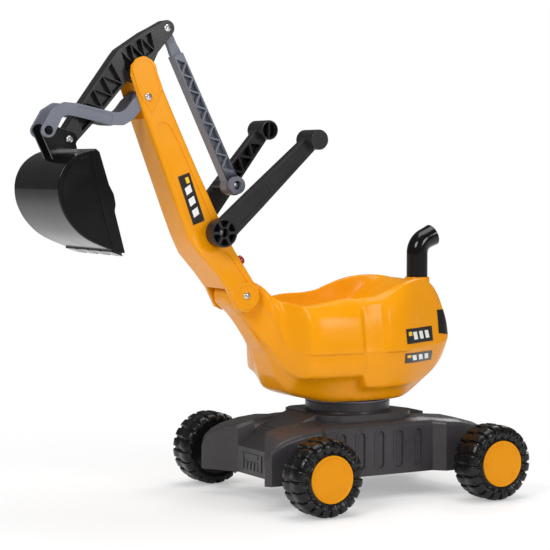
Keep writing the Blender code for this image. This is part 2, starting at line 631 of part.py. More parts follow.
bolt("rod_low_screw", lever, ROD_LOW, 0.0105, -0.0280, nut=False)

# Stick: ribbed beam, slotted at the tail for the push rod
TAIL = arc(ROD_TOP, 0.0125, -45, 120, 6)
STICK_SHAPE = [(-0.3580, 0.7470), (-0.3750, 0.7385), (-0.4170, 0.7110), (-0.4250, 0.7010), (-0.4860, 0.6180)]
STICK_SHAPE += arc(BUCKET_AXIS, 0.0128, 150, 310, 6)
STICK_SHAPE += [(-0.4600, 0.5980), (-0.4400, 0.6200), (-0.4200, 0.6430), (-0.4030, 0.6620)]
STICK_SHAPE += arc(STICK_AXIS, 0.0165, 215, 330, 5)
STICK_SHAPE += [(-0.3500, 0.7080)] + TAIL
stick_obj = piece("stick", prism(STICK_SHAPE, -STICK, STICK), stick, DARK)
join(stick_obj, rod(STICK_AXIS, -CHEEK_IN + 0.001, CHEEK_IN - 0.001, 0.0110, 20))
for face in ((0.0025, 0.02), (-0.02, -0.0025)):
    cut(stick_obj, truss((-0.4880, 0.5930), (-0.4300, 0.6660), 0.0115, 0.0165, 6, *face, wall=0.0012))
    cut(stick_obj, truss((-0.4200, 0.6750), (-0.3560, 0.7230), 0.0165, 0.0125, 5, *face, wall=0.0012))
cut(stick_obj, rod(BUCKET_AXIS, -0.05, 0.05, 0.0033, 16))
cut(stick_obj, rod(STICK_AXIS, -0.05, 0.05, 0.0045, 16))
cut(stick_obj, rod(ROD_TOP, -0.05, 0.05, 0.0033, 16))
SLOT = arc(ROD_TOP, 0.0100, 20, 170, 5) + [(-0.3480, 0.7150), (-0.3360, 0.6900), (-0.3000, 0.7200)]
cut(stick_obj, prism(SLOT, -0.0055, 0.0055))
bolt("rod_top_bolt", stick, ROD_TOP, STICK, -STICK)
bolt("bucket_bolt", stick, BUCKET_AXIS, EAR[1], -EAR[1])

# Link: two bent plates outside the bucket's ears, joined by a spacer on the boom's bolt
LINK_LINE = [LINK_STUB, (-0.5230, 0.6120), (-0.5100, 0.6200), (-0.4910, 0.6180), (-0.4330, 0.6060)]
LINK_LINE += [(-0.4160, 0.6055), (-0.4030, 0.6130), (-0.3910, 0.6280), LINK_AXIS]


def link_shape(half):
    left, right = [], []
    for i, at in enumerate(LINK_LINE[1:-1], 1):
        ahead, behind = LINK_LINE[i + 1], LINK_LINE[i - 1]
        run = Vector(ahead) - Vector(behind)
        side = Vector((-run.y, run.x)).normalized() * half
        left.append(tuple(Vector(at) + side))
        right.append(tuple(Vector(at) - side))
    return left, right


left, right = link_shape(0.0100)
foot = math.degrees(math.atan2(LINK_LINE[0][1] - LINK_LINE[1][1], LINK_LINE[0][0] - LINK_LINE[1][0]))
top = math.degrees(math.atan2(LINK_AXIS[1] - LINK_LINE[-2][1], LINK_AXIS[0] - LINK_LINE[-2][0]))
LINK_SHAPE = left + arc(LINK_AXIS, 0.0105, top + 90, top - 90, 6)
LINK_SHAPE += right[::-1] + arc(LINK_STUB, 0.0112, foot + 90, foot - 90, 6)
for sign, hand in ((1, "left"), (-1, "right")):
    ends = sorted((sign * LINK[0], sign * LINK[1]))
    plate = piece(f"link_plate_{hand}", prism(LINK_SHAPE, *ends), link, GREY)
    cut(plate, rod(LINK_STUB, -0.05, 0.05, 0.0070, 16))
    cut(plate, rod(LINK_AXIS, -0.05, 0.05, 0.0034, 16))
spacer = piece("link_spacer", rod(LINK_AXIS, -LINK[0] + GAP, LINK[0] - GAP, 0.0070, 16), link, GREY)
cut(spacer, rod(LINK_AXIS, -0.05, 0.05, 0.0034, 16))

# Bucket: curved back, open towards the machine, with two ears, stubs and four teeth
BACK = [(-0.4480, 0.4030), (-0.5010, 0.4250), (-0.5280, 0.4470), (-0.5440, 0.4730), (-0.5490, 0.4980)]
BACK += [(-0.5455, 0.5200), (-0.5330, 0.5400), (-0.5120, 0.5540), (-0.4880, 0.5600)]
OUTER = BACK + [(-0.4820, 0.5550), (-0.4620, 0.4910), (-0.4590, 0.4770), (-0.4610, 0.4680)]
OUTER += [(-0.4450, 0.4050)]
INNER = [(-0.4440, 0.4062), (-0.4990, 0.4290), (-0.5250, 0.4500), (-0.5405, 0.4745), (-0.5455, 0.4975)]
INNER += [(-0.5420, 0.5180), (-0.5305, 0.5370), (-0.5110, 0.5505), (-0.4870, 0.5565)]
INNER += [(-0.4500, 0.5600), (-0.4200, 0.4900), (-0.4200, 0.4062)]
bucket_obj = piece("bucket", prism(OUTER, -0.0850, 0.0850), bucket, BLACK)
BAND = [(-0.4970, 0.5585), (-0.4820, 0.5565), (-0.4600, 0.4910), (-0.4572, 0.4770), (-0.4592, 0.4680)]
BAND += [(-0.4425, 0.4050), (-0.4550, 0.4050), (-0.4750, 0.4700)]
join(bucket_obj, prism(BAND, -0.0870, 0.0870))
cut(bucket_obj, prism(INNER, -0.0820, 0.0820))
EAR_SHAPE = [(-0.5260, 0.5400), (-0.5330, 0.5560)] + arc(LINK_STUB, 0.0100, 200, 60, 5)
EAR_SHAPE += arc(BUCKET_AXIS, 0.0125, 70, -30, 4) + [(-0.4880, 0.5575), (-0.5100, 0.5525)]
for sign in (-1, 1):
    join(bucket_obj, prism(EAR_SHAPE, *sorted((sign * EAR[0], sign * EAR[1]))))
    stub = sorted((sign * (EAR[0] + 0.001), sign * (LINK[1] + 0.0015)))
    join(bucket_obj, rod(LINK_STUB, *stub, 0.0042, 16))
for i in range(4):
    x = 0.0435 * (i - 1.5)
    tooth = [(-0.4640, 0.4120), (-0.4640, 0.4060), (-0.4450, 0.3990), (-0.4430, 0.4000), (-0.4560, 0.4125)]
    join(bucket_obj, prism(tooth, x - 0.0195, x + 0.0195))
cut(bucket_obj, rod(BUCKET_AXIS, -0.05, 0.05, 0.0033, 16))
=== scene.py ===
"""Looks of a ride-on toy digger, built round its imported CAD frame.

Lengths are in metres. (y, z) pairs are measured from the swivel axis and the ground, and every
finished piece is moved back by HOME, the swivel's place along the frame's Y axis.
"""

import json
import math

import bpy
from mathutils import Matrix, Vector


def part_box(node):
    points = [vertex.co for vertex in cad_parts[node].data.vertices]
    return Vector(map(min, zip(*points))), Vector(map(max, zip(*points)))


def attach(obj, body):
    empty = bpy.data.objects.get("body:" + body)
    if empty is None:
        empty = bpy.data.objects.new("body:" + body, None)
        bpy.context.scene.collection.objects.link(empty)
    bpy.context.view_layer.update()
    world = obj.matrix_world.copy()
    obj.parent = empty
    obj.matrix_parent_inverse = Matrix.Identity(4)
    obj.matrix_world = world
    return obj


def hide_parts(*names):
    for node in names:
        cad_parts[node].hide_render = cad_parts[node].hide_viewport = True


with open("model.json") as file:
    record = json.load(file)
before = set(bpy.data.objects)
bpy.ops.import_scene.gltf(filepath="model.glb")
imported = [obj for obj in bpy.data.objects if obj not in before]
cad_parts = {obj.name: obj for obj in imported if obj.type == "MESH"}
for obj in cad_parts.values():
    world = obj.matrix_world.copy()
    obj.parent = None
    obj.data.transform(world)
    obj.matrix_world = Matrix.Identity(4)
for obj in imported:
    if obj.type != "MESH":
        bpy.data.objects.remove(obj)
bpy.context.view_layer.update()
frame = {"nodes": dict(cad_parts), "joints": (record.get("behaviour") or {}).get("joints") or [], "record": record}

bl_info = {
    "name": "Ride-on digger",
    "version": (1, 0, 0),
    "blender": (4, 5, 0),
    "location": "View3D > Sidebar > Digger",
    "description": "Models a child's ride-on digger piece by piece round its CAD frame",
    "category": "Add Mesh",
}

JOINTS = {joint["name"]: joint["pos_m"] for joint in frame["joints"] if "pos_m" in joint}
HOME = JOINTS["house_swivel"][1]


def pivot_of(joint):
    """A joint's (y, z), measured from the swivel axis and the ground."""
    return (JOINTS[joint][1] - HOME, JOINTS[joint][2])


BOOM_BASE = pivot_of("boom_lift")
LEVER_AXIS = pivot_of("lever_swing")
ROD_LOW = pivot_of("rod_swing")
STICK_AXIS = pivot_of("stick_swing")
LINK_AXIS = pivot_of("link_swing")
BUCKET_AXIS = pivot_of("bucket_curl")
ROD_TOP = (-0.334, 0.746)
LINK_STUB = (-0.5367, 0.5873)
COLLAR_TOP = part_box("chassis_cover")[1].z
GAP = 0.0003


# Modelling by operator


def deselect():
    if bpy.context.mode != "OBJECT":
        bpy.ops.object.mode_set(mode="OBJECT")
    bpy.ops.object.select_all(action="DESELECT")


def pick(obj):
    deselect()
    obj.select_set(True)
    bpy.context.view_layer.objects.active = obj
    return obj


def named(name):
    """Names the primitive that was just added."""
    obj = bpy.context.active_object
    obj.name = name
    obj.data.name = name
    return obj


def face_out(obj, merge=0.000001):
    pick(obj)
    bpy.ops.object.mode_set(mode="EDIT")
    bpy.ops.mesh.select_all(action="SELECT")
    bpy.ops.mesh.remove_doubles(threshold=merge)
    bpy.ops.mesh.delete_loose()
    bpy.ops.mesh.select_all(action="SELECT")
    bpy.ops.mesh.normals_make_consistent(inside=False)
    bpy.ops.object.mode_set(mode="OBJECT")
    return obj


def spot(axis, depth, u, v):
    """A point of a flat outline: axis X takes (y, z), Y takes (x, z) and Z takes (x, y)."""
    return {"X": (depth, u, v), "Y": (u, depth, v), "Z": (u, v, depth)}[axis]


def slab(name, outline, low, high, axis="X", edge=0.0, steps=2):
    """A filled outline extruded from low to high, with its rims bevelled by edge."""
    deselect()
    bpy.ops.mesh.primitive_circle_add(vertices=len(outline), fill_type="NGON")
    obj = named(name)
    for vertex, (u, v) in zip(obj.data.vertices, outline):
        vertex.co = spot(axis, low, u, v)
    push = spot(axis, high - low, 0, 0)
    bpy.ops.object.mode_set(mode="EDIT")
    bpy.ops.mesh.select_all(action="SELECT")
    bpy.ops.mesh.extrude_region_move(TRANSFORM_OT_translate={"value": push})
    face_out(obj)
    if edge:
        bevel(obj, edge, steps, 50)
    return obj


def bar(name, yz, low, high, radius, steps=40, edge=0.0):
    """A round bar across the machine."""
    place = ((low + high) / 2, *yz)
    return round_bar(name, place, (1, 0, 0), high - low, radius, steps, edge)


def round_bar(name, middle, along, length, radius, steps=40, edge=0.0):
    deselect()
    turn = Vector((0, 0, 1)).rotation_difference(Vector(along)).to_euler()
    bpy.ops.mesh.primitive_cylinder_add(
        vertices=steps, radius=radius, depth=length, location=middle, rotation=turn
    )
    obj = named(name)
    bpy.ops.object.transform_apply(location=True, rotation=True, scale=True)
    if edge:
        bevel(obj, edge, 2, 50)
    return obj


def turned(name, profile, centre, axis, steps):
    """A closed outline of (radius, height) points spun about an axis through centre."""
    centre, axis = Vector(centre), Vector(axis)
    side = Vector((0, 0, -1)) if abs(axis.x) > 0.5 else Vector((1, 0, 0))
    deselect()
    bpy.ops.mesh.primitive_circle_add(vertices=len(profile), fill_type="NOTHING")
    obj = named(name)
    for vertex, (radius, height) in zip(obj.data.vertices, profile):
        vertex.co = centre + axis * height + side * radius
    bpy.ops.object.mode_set(mode="EDIT")
    bpy.ops.mesh.select_all(action="SELECT")
    bpy.ops.mesh.spin(steps=steps, angle=2 * math.pi, center=centre, axis=axis)
    return face_out(obj, 0.00001)


def skin(name, rings, capped=True):
    """A grid wrapped round closed rings of points, one row of the grid for each ring."""
    around, rows = len(rings[0]), len(rings)
    deselect()
    bpy.ops.mesh.primitive_grid_add(x_subdivisions=around, y_subdivisions=rows - 1, size=2)
    obj = named(name)
    for vertex in obj.data.vertices:
        column = round((vertex.co.x + 1) / 2 * around) % around
        row = round((vertex.co.y + 1) / 2 * (rows - 1))
        vertex.co = rings[row][column]
    face_out(obj)
    if capped:
        bpy.ops.object.mode_set(mode="EDIT")
        bpy.ops.mesh.select_all(action="SELECT")
        bpy.ops.mesh.fill_holes(sides=0)
        face_out(obj)
    return obj


def finish_modifier(obj, kind, **settings):
    """Adds a modifier with these settings and applies it."""
    pick(obj)
    modifier = obj.modifiers.new(kind.title(), kind)
    for key, value in settings.items():
        setattr(modifier, key, value)
    bpy.ops.object.modifier_apply(modifier=modifier.name)
    return obj


def bevel(obj, width, segments, angle):
    return finish_modifier(
        obj,
        "BEVEL",
        width=width,
        segments=segments,
        limit_method="ANGLE",
        angle_limit=math.radians(angle),
        miter_outer="MITER_ARC",
    )


def carve(obj, *tools):
    for tool in tools:
        finish_modifier(obj, "BOOLEAN", operation="DIFFERENCE", solver="EXACT", object=tool)
        bpy.data.objects.remove(tool, do_unlink=True)
    return obj


def weld(obj, *tools):
    for tool in tools:
        finish_modifier(obj, "BOOLEAN", operation="UNION", solver="EXACT", object=tool)
        bpy.data.objects.remove(tool, do_unlink=True)
    return obj


def group(objs):
    """Several pieces joined as one object."""
    deselect()
    for obj in objs:
        obj.select_set(True)
    bpy.context.view_layer.objects.active = objs[0]
    bpy.ops.object.join()
    return objs[0]


def shade(obj, angle=32):
    pick(obj)
    bpy.ops.object.shade_smooth_by_angle(angle=math.radians(angle))
    return finish_modifier(obj, "WEIGHTED_NORMAL", keep_sharp=True, weight=60)


def settle(obj, body, look, slot, *nodes, smooth=32):
    """Shades a finished piece, moves it home, paints it and lets it ride on its body."""
    shade(obj, smooth)
    obj.data.transform(Matrix.Translation((0, HOME, 0)))
    obj.data.materials.clear()
    obj.data.materials.append(look)
    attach(obj, body)
    if nodes:
        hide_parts(*nodes)
    return obj


# Outlines


def arc(centre, radius, start, end, count):
    points = []
    for i in range(count + 1):
        angle = math.radians(start + (end - start) * i / count)
        points.append((centre[0] + radius * math.cos(angle), centre[1] + radius * math.sin(angle)))
    return points


def between(a, b, t, aside=0.0):
    """The point a fraction t of the way from a to b, moved aside to the left of that way."""
    dx, dy = b[0] - a[0], b[1] - a[1]
    length = math.hypot(dx, dy)
    return (a[0] + dx * t - dy / length * aside, a[1] + dy * t + dx / length * aside)


def eased(rows, at):
    """The columns of a table of stations at one value of its first column, on a smooth curve."""
    i = 0
    while i < len(rows) - 2 and at > rows[i + 1][0]:
        i += 1
    a, b = rows[i], rows[i + 1]
    before, after = rows[max(i - 1, 0)], rows[min(i + 2, len(rows) - 1)]
    span = b[0] - a[0]
    t = (at - a[0]) / span
    found = []
    for column in range(1, len(a)):
        slope_a = (b[column] - before[column]) / (b[0] - before[0]) * span
        slope_b = (after[column] - a[column]) / (after[0] - a[0]) * span
        value = (2 * t**3 - 3 * t**2 + 1) * a[column] + (t**3 - 2 * t**2 + t) * slope_a
        found.append(value + (3 * t**2 - 2 * t**3) * b[column] + (t**3 - t**2) * slope_b)
    return found


def step_up(at, edge, width):
    """0 before an edge and 1 after it, with a smooth ramp of this width."""
    t = min(max((at - edge) / width + 0.5, 0), 1)
    return t * t * (3 - 2 * t)


def rounded(outline, radius, count=3):
    """An outline with each corner rounded, by less where a side is short."""
    made = []
    for i, here in enumerate(outline):
        here = Vector(here)
        back = Vector(outline[i - 1]) - here
        ahead = Vector(outline[(i + 1) % len(outline)]) - here
        cut = min(radius, back.length * 0.45, ahead.length * 0.45)
        start, end = here + back.normalized() * cut, here + ahead.normalized() * cut
        for k in range(count + 1):
            t = k / count
            point = start * (1 - t) ** 2 + here * 2 * t * (1 - t) + end * t * t
            made.append(tuple(point))
    return made


def pockets(a, b, wide_a, wide_b, cells, low, high, rib, corner=0.0012):
    """Cutters for the triangular pockets of a zigzag-ribbed face between a and b."""
    made = []
    for i in range(cells - 1):
        side = 1 if i % 2 else -1
        corners = []
        for t, s in ((i / cells, side), ((i + 2) / cells, side), ((i + 1) / cells, -side)):
            corners.append(Vector(between(a, b, t, s * (wide_a + (wide_b - wide_a) * t))))
        middle = sum(corners, Vector((0, 0))) / 3
        inset = 1 - 2.2 * rib / min((point - middle).length for point in corners)
        shape = rounded([middle + (point - middle) * inset for point in corners], corner, 2)
        made.append(slab("pocket", shape, low, high))
    return group(made)


# Finishes


def plastic(name, colour, roughness, grain=0.35, mottle=0.05, coat=0.0, dust=0.0, shine=0.3):
    """Moulded plastic: a fine grain, slow shifts of tone, faint flow streaks and rubbed patches."""
    look = bpy.data.materials.new(name)
    look.use_nodes = True
    tree = look.node_tree
    shader = tree.nodes["Principled BSDF"]
    place = tree.nodes.new("ShaderNodeTexCoord")

    def noise(scale, detail, stretch=(1, 1, 1)):
        mapping = tree.nodes.new("ShaderNodeMapping")
        mapping.inputs["Scale"].default_value = stretch
        tree.links.new(place.outputs["Object"], mapping.inputs["Vector"])
        texture = tree.nodes.new("ShaderNodeTexNoise")
        texture.inputs["Scale"].default_value = scale
        texture.inputs["Detail"].default_value = detail
        tree.links.new(mapping.outputs["Vector"], texture.inputs["Vector"])
        return texture.outputs["Fac"]

    def spread(value, low, high):
        span = tree.nodes.new("ShaderNodeMapRange")
        span.inputs["From Min"].default_value = 0.3
        span.inputs["From Max"].default_value = 0.7
        span.inputs["To Min"].default_value = low
        span.inputs["To Max"].default_value = high
        tree.links.new(value, span.inputs["Value"])
        return span.outputs["Result"]

    def tone(factor, a, b):
        mix = tree.nodes.new("ShaderNodeMix")
        mix.data_type = "RGBA"
        tree.links.new(factor, mix.inputs["Factor"])
        for socket, value in ((mix.inputs[6], a), (mix.inputs[7], b)):
            if isinstance(value, tuple):
                socket.default_value = (*value, 1)
            else:
                tree.links.new(value, socket)
        return mix.outputs[2]

    dark = tuple(c * (1 - mottle) for c in colour)
    light = tuple(min(c * (1 + mottle) + 0.002, 1) for c in colour)
    base = tone(spread(noise(9, 3), 0, 1), dark, light)
    streaks = spread(noise(55, 4, (1, 1, 0.12)), 0, 0.35)
    base = tone(streaks, base, tuple(c * (1 - mottle * 0.7) for c in colour))
    if dust:
        base = tone(spread(noise(140, 5), 0, dust), base, (0.32, 0.30, 0.27))
    tree.links.new(base, shader.inputs["Base Color"])
    rubbed = spread(noise(26, 6), roughness - 0.05, roughness + 0.08)
    tree.links.new(rubbed, shader.inputs["Roughness"])
    bump = tree.nodes.new("ShaderNodeBump")
    bump.inputs["Strength"].default_value = grain
    bump.inputs["Distance"].default_value = 0.0002
    tree.links.new(noise(620, 2), bump.inputs["Height"])
    wave = tree.nodes.new("ShaderNodeBump")
    wave.inputs["Strength"].default_value = 0.12
    wave.inputs["Distance"].default_value = 0.0015
    tree.links.new(noise(17, 1), wave.inputs["Height"])
    tree.links.new(bump.outputs["Normal"], wave.inputs["Normal"])
    tree.links.new(wave.outputs["Normal"], shader.inputs["Normal"])
    shader.inputs["Coat Weight"].default_value = coat
    shader.inputs["Coat Roughness"].default_value = 0.12
    shader.inputs["Specular IOR Level"].default_value = shine
    return look


def zinc(name, colour):
    """Zinc-plated steel: bright, faintly clouded and brushed round."""
    look = plastic(name, colour, 0.27, grain=0.5, mottle=0.12)
    look.node_tree.nodes["Principled BSDF"].inputs["Metallic"].default_value = 1.0
    return look


def badge(name):
    """A black label with plain slanted bars and a small square, on the piece's own UV map."""
    look = bpy.data.materials.new(name)
    look.use_nodes = True
    tree = look.node_tree
    shader = tree.nodes["Principled BSDF"]
    uv = tree.nodes.new("ShaderNodeUVMap")
    split = tree.nodes.new("ShaderNodeSeparateXYZ")
    tree.links.new(uv.outputs["UV"], split.inputs["Vector"])
    u, v = split.outputs["X"], split.outputs["Y"]

    def maths(kind, a, b):
        node = tree.nodes.new("ShaderNodeMath")
        node.operation = kind
        for socket, value in zip(node.inputs, (a, b)):
            if isinstance(value, (int, float)):
                socket.default_value = value
            else:
                tree.links.new(value, socket)
        return node.outputs[0]

    def inside(value, low, high):
        above, below = maths("GREATER_THAN", value, low), maths("LESS_THAN", value, high)
        return maths("MULTIPLY", above, below)

    slant = maths("ADD", maths("MULTIPLY", u, 4.3), maths("MULTIPLY", v, 0.30))
    bars = inside(maths("FRACT", slant, 0), 0.20, 0.82)
    bars = maths("MULTIPLY", bars, inside(v, 0.24, 0.76))
    bars = maths("MULTIPLY", bars, inside(slant, 1.1, 4.1))
    square = maths("MULTIPLY", inside(u, 0.07, 0.19), inside(v, 0.52, 0.80))
    for pattern, colour, first in ((bars, (0.85, 0.85, 0.84), True), (square, (0.9, 0.55, 0.02), False)):
        mix = tree.nodes.new("ShaderNodeMix")
        mix.data_type = "RGBA"
        tree.links.new(pattern, mix.inputs["Factor"])
        if first:
            mix.inputs[6].default_value = (0.014, 0.011, 0.010, 1)
        else:
            tree.links.new(under, mix.inputs[6])
        mix.inputs[7].default_value = (*colour, 1)
        under = mix.outputs[2]
    tree.links.new(under, shader.inputs["Base Color"])
    shader.inputs["Roughness"].default_value = 0.22
    shader.inputs["Coat Weight"].default_value = 0.3
    return look


# Sizes and colours that a user would change


def colour_setting(label, what, value):
    return bpy.props.FloatVectorProperty(
        name=label, description=what, default=value, subtype="COLOR", size=3, min=0, max=1
    )


def length_setting(label, what, value):
    return bpy.props.FloatProperty(
        name=label, description=what, default=value, subtype="DISTANCE", unit="LENGTH", min=0
    )


class DiggerColours(bpy.types.PropertyGroup):
    body: colour_setting("Body", "Blow-moulded body, boom and hub caps", (0.84, 0.318, 0.0003))
    frame: colour_setting("Frame", "Undercarriage, stick and levers", (0.046, 0.043, 0.047))
    gloss: colour_setting("Gloss black", "Tyres, bucket and exhaust", (0.0048, 0.0048, 0.0056))
    links: colour_setting("Links", "Push rod and bucket link", (0.165, 0.176, 0.215))
    knob: colour_setting("Knob", "Boom lock knob", (0.30, 0.004, 0.012))
    steel: colour_setting("Steel", "Bolts, pins and axles", (0.66, 0.67, 0.69))


class DiggerSizes(bpy.types.PropertyGroup):
    lugs: bpy.props.IntProperty(name="Tyre lugs", description="Lugs round a tyre", default=20, min=8)
    lug_height: length_setting("Lug height", "Depth of the grooves between lugs", 0.0035)
    flute: length_setting("Flute", "How far the body's side panels stand proud", 0.0044)
    groove: length_setting("Boom groove", "Depth of the grooves in the boom's sides", 0.0012)
    edge: length_setting("Edge", "Radius of moulded edges", 0.0012)


# materials by look, and the finished shells that labels are laid on
LOOKS = {}
SHELLS = {}


def prepare_looks(colours):
    yellow, cap_yellow = tuple(colours.body), tuple(c * 0.86 for c in colours.body)
    LOOKS["body"] = plastic("yellow_polyethylene", yellow, 0.25, 0.2, 0.03, coat=0.06, shine=0.2)
    LOOKS["cap"] = plastic("yellow_hub_plastic", cap_yellow, 0.34, 0.2, 0.04, shine=0.15)
    LOOKS["frame"] = plastic("dark_grey_plastic", tuple(colours.frame), 0.30, 0.4, 0.10, dust=0.02)
    LOOKS["arm"] = plastic("dark_arm_plastic", tuple(c * 0.42 for c in colours.frame), 0.28, 0.4, 0.12)
    LOOKS["gloss"] = plastic("gloss_black_plastic", tuple(colours.gloss), 0.11, 0.08, 0.15, coat=0.15)
    LOOKS["tyre"] = plastic("black_tyre_plastic", tuple(colours.gloss), 0.24, 0.35, 0.2, dust=0.012)
    LOOKS["link"] = plastic("grey_link_plastic", tuple(colours.links), 0.34, 0.35, 0.07)
    LOOKS["knob"] = plastic("dark_red_plastic", tuple(colours.knob), 0.22, 0.15, 0.1, coat=0.3)
    LOOKS["steel"] = zinc("zinc_plated_steel", tuple(colours.steel))
    LOOKS["badge"] = badge("plain_bar_label")
    LOOKS["mark"] = plastic("black_label_vinyl", (0.012, 0.011, 0.011), 0.25, 0.1, 0.1)


# House: the swivelling body with its bucket seat

# y, bottom z, bottom half, shelf z, shelf half, waist z, waist half, rim z, rim half, seat z
HOUSE = (
    (-0.2370, 0.3230, 0.015, 0.3240, 0.024, 0.3310, 0.026, 0.3390, 0.022, 0.3400),
    (-0.2270, 0.3090, 0.020, 0.3120, 0.0293, 0.3310, 0.0293, 0.3480, 0.026, 0.3505),
    (-0.2120, 0.3000, 0.020, 0.3030, 0.0293, 0.3310, 0.0293, 0.3535, 0.026, 0.3565),
    (-0.1930, 0.2720, 0.022, 0.2780, 0.0293, 0.3250, 0.0293, 0.3520, 0.026, 0.3550),
    (-0.1840, 0.2600, 0.024, 0.2660, 0.0293, 0.3150, 0.0293, 0.3480, 0.026, 0.3520),
    (-0.1750, 0.2480, 0.026, 0.2550, 0.036, 0.3060, 0.039, 0.3410, 0.032, 0.3465),
    (-0.1640, 0.2320, 0.028, 0.2400, 0.043, 0.2900, 0.048, 0.3280, 0.040, 0.3345),
    (-0.1520, 0.2000, 0.032, 0.2150, 0.056, 0.2500, 0.064, 0.3180, 0.052, 0.3235),
    (-0.1400, 0.1780, 0.042, 0.2020, 0.086, 0.2390, 0.090, 0.3145, 0.077, 0.3185),
    (-0.1360, 0.1740, 0.045, 0.2010, 0.093, 0.2390, 0.098, 0.3140, 0.085, 0.3170),
    (-0.1280, 0.1700, 0.050, 0.2010, 0.101, 0.2390, 0.105, 0.3140, 0.091, 0.3145),
    (-0.1100, 0.1640, 0.060, 0.2010, 0.107, 0.2390, 0.110, 0.3140, 0.097, 0.3100),
    (-0.0750, 0.1552, 0.073, 0.2010, 0.111, 0.2390, 0.114, 0.3140, 0.101, 0.3000),
    (-0.0480, 0.1552, 0.078, 0.2010, 0.113, 0.2390, 0.116, 0.3140, 0.102, 0.2980),
    (-0.0400, 0.1552, 0.079, 0.2005, 0.113, 0.2390, 0.117, 0.3141, 0.103, 0.2980),
    (-0.0330, 0.1552, 0.079, 0.1850, 0.112, 0.2390, 0.118, 0.3144, 0.104, 0.2980),
    (-0.0260, 0.1552, 0.080, 0.1820, 0.112, 0.2390, 0.119, 0.3148, 0.104, 0.2980),
    (0.0000, 0.1552, 0.080, 0.1815, 0.113, 0.2390, 0.120, 0.3195, 0.106, 0.2985),
    (0.0350, 0.1552, 0.078, 0.1815, 0.110, 0.2390, 0.119, 0.3395, 0.103, 0.3010),
    (0.0600, 0.1555, 0.072, 0.1820, 0.101, 0.2390, 0.110, 0.3480, 0.093, 0.3150),
    (0.0860, 0.1620, 0.056, 0.1840, 0.086, 0.2390, 0.097, 0.3510, 0.077, 0.3430),
    (0.1100, 0.1740, 0.045, 0.1900, 0.072, 0.2400, 0.085, 0.3490, 0.063, 0.3505),
    (0.1340, 0.1870, 0.040, 0.2020, 0.061, 0.2420, 0.075, 0.3400, 0.051, 0.3420),
    (0.1520, 0.2070, 0.035, 0.2180, 0.053, 0.2460, 0.066, 0.3150, 0.047, 0.3210),
    (0.1640, 0.2280, 0.030, 0.2340, 0.045, 0.2520, 0.055, 0.2800, 0.045, 0.2860),
    (0.1690, 0.2420, 0.020, 0.2450, 0.032, 0.2550, 0.038, 0.2650, 0.032, 0.2680),
)
FLUTE_ROWS = (-0.1320, -0.1240, -0.0440, -0.0365, -0.0300, -0.0090, -0.0045, 0.0045, 0.0090)
NECK_ROWS = (-0.1790, -0.1720, -0.1695, -0.1670, -0.1605, -0.1580, -0.1555, -0.1480)


def panel_swell(y):
    """How far the upper side wall stands out along the house: panels proud, the strip between sunk."""
    front = step_up(y, -0.134, 0.005) - step_up(y, -0.0405, 0.005)
    strip = step_up(y, -0.0405, 0.005) - step_up(y, 0.0, 0.006)
    rear = step_up(y, 0.0, 0.006) * (1 - step_up(y, 0.045, 0.05))
    return front - 0.45 * strip + 0.8 * rear


def neck_ribs(y):
    """Two upright ribs where the neck runs into the body."""
    return sum(math.exp(-(((y - at) / 0.0032) ** 2)) for at in (-0.1695, -0.158))


def house_ring(y, flute):
    low, low_w, shelf, shelf_w, waist, waist_w, rim, rim_w, seat = eased(HOUSE, y)
    tuck = min(0.020, 0.26 * shelf_w)
    lip = min(0.0125, 0.3 * rim_w)
    small = min(1, shelf_w / 0.09)
    swell = flute * panel_swell(y) * small
    rib = 0.0036 * neck_ribs(y)
    slope = 0.009 * step_up(y, -0.105, 0.03) * (1 - step_up(y, 0.025, 0.05))
    lower = flute * 0.5 * (step_up(y, -0.134, 0.006) - step_up(y, -0.037, 0.008)) * small
    rise = rim - waist
    half = [
        (low_w * 0.55, low),
        (low_w, low + 0.0004),
        (low_w + (shelf_w - tuck - low_w) * 0.38, low + (shelf - low) * 0.45),
        (shelf_w - tuck, shelf - 0.003 * small),
        (shelf_w - 0.003 * small + lower * 0.5, shelf - 0.0005),
        (shelf_w + lower, shelf + 0.005 * small),
        (shelf_w + (waist_w - shelf_w) * 0.6 + lower, shelf + (waist - shelf) * 0.6),
        (waist_w - 0.0024 * small + lower, waist - 0.0020),
        (waist_w + swell * 0.7 + rib, waist + 0.0008),
        (waist_w + (rim_w - waist_w) * 0.08 + swell + rib, waist + rise * 0.12),
        (waist_w + (rim_w - waist_w) * 0.25 + swell + rib, waist + rise * 0.45),
        (waist_w + (rim_w - waist_w) * 0.55 + swell + rib, waist + rise * 0.78),
        (rim_w + 0.0015 * small + swell * 0.3, rim - 0.006 * small),
        (rim_w, rim - 0.0005),
        (rim_w - 0.003 * small, rim + 0.0012 + slope * 0.2),
        (rim_w - lip, rim + 0.0016 + slope),
        (rim_w - lip - 0.003 * small, rim + 0.0002 + slope),
        (rim_w - 1.9 * lip, seat + (rim - seat) * 0.28),
        (rim_w - 2.3 * lip, seat + 0.0004),
        (rim_w * 0.33, seat - 0.0004),
    ]
    return [(x, y, z) for x, z in half] + [(-x, y, z) for x, z in reversed(half)]


def crease(obj, chosen, amount):
    """Sharpens the edges for which chosen(a, b) holds, a and b being their ends."""
    pick(obj)
    bpy.ops.object.mode_set(mode="EDIT")
    bpy.ops.mesh.select_mode(type="EDGE")
    bpy.ops.mesh.select_all(action="DESELECT")
    bpy.ops.object.mode_set(mode="OBJECT")
    points = obj.data.vertices
    for edge in obj.data.edges:
        a, b = (points[i].co for i in edge.vertices)
        edge.select = bool(chosen(a, b))
    bpy.ops.object.mode_set(mode="EDIT")
    bpy.ops.transform.edge_crease(value=amount)
    bpy.ops.mesh.select_mode(type="VERT")
    bpy.ops.object.mode_set(mode="OBJECT")


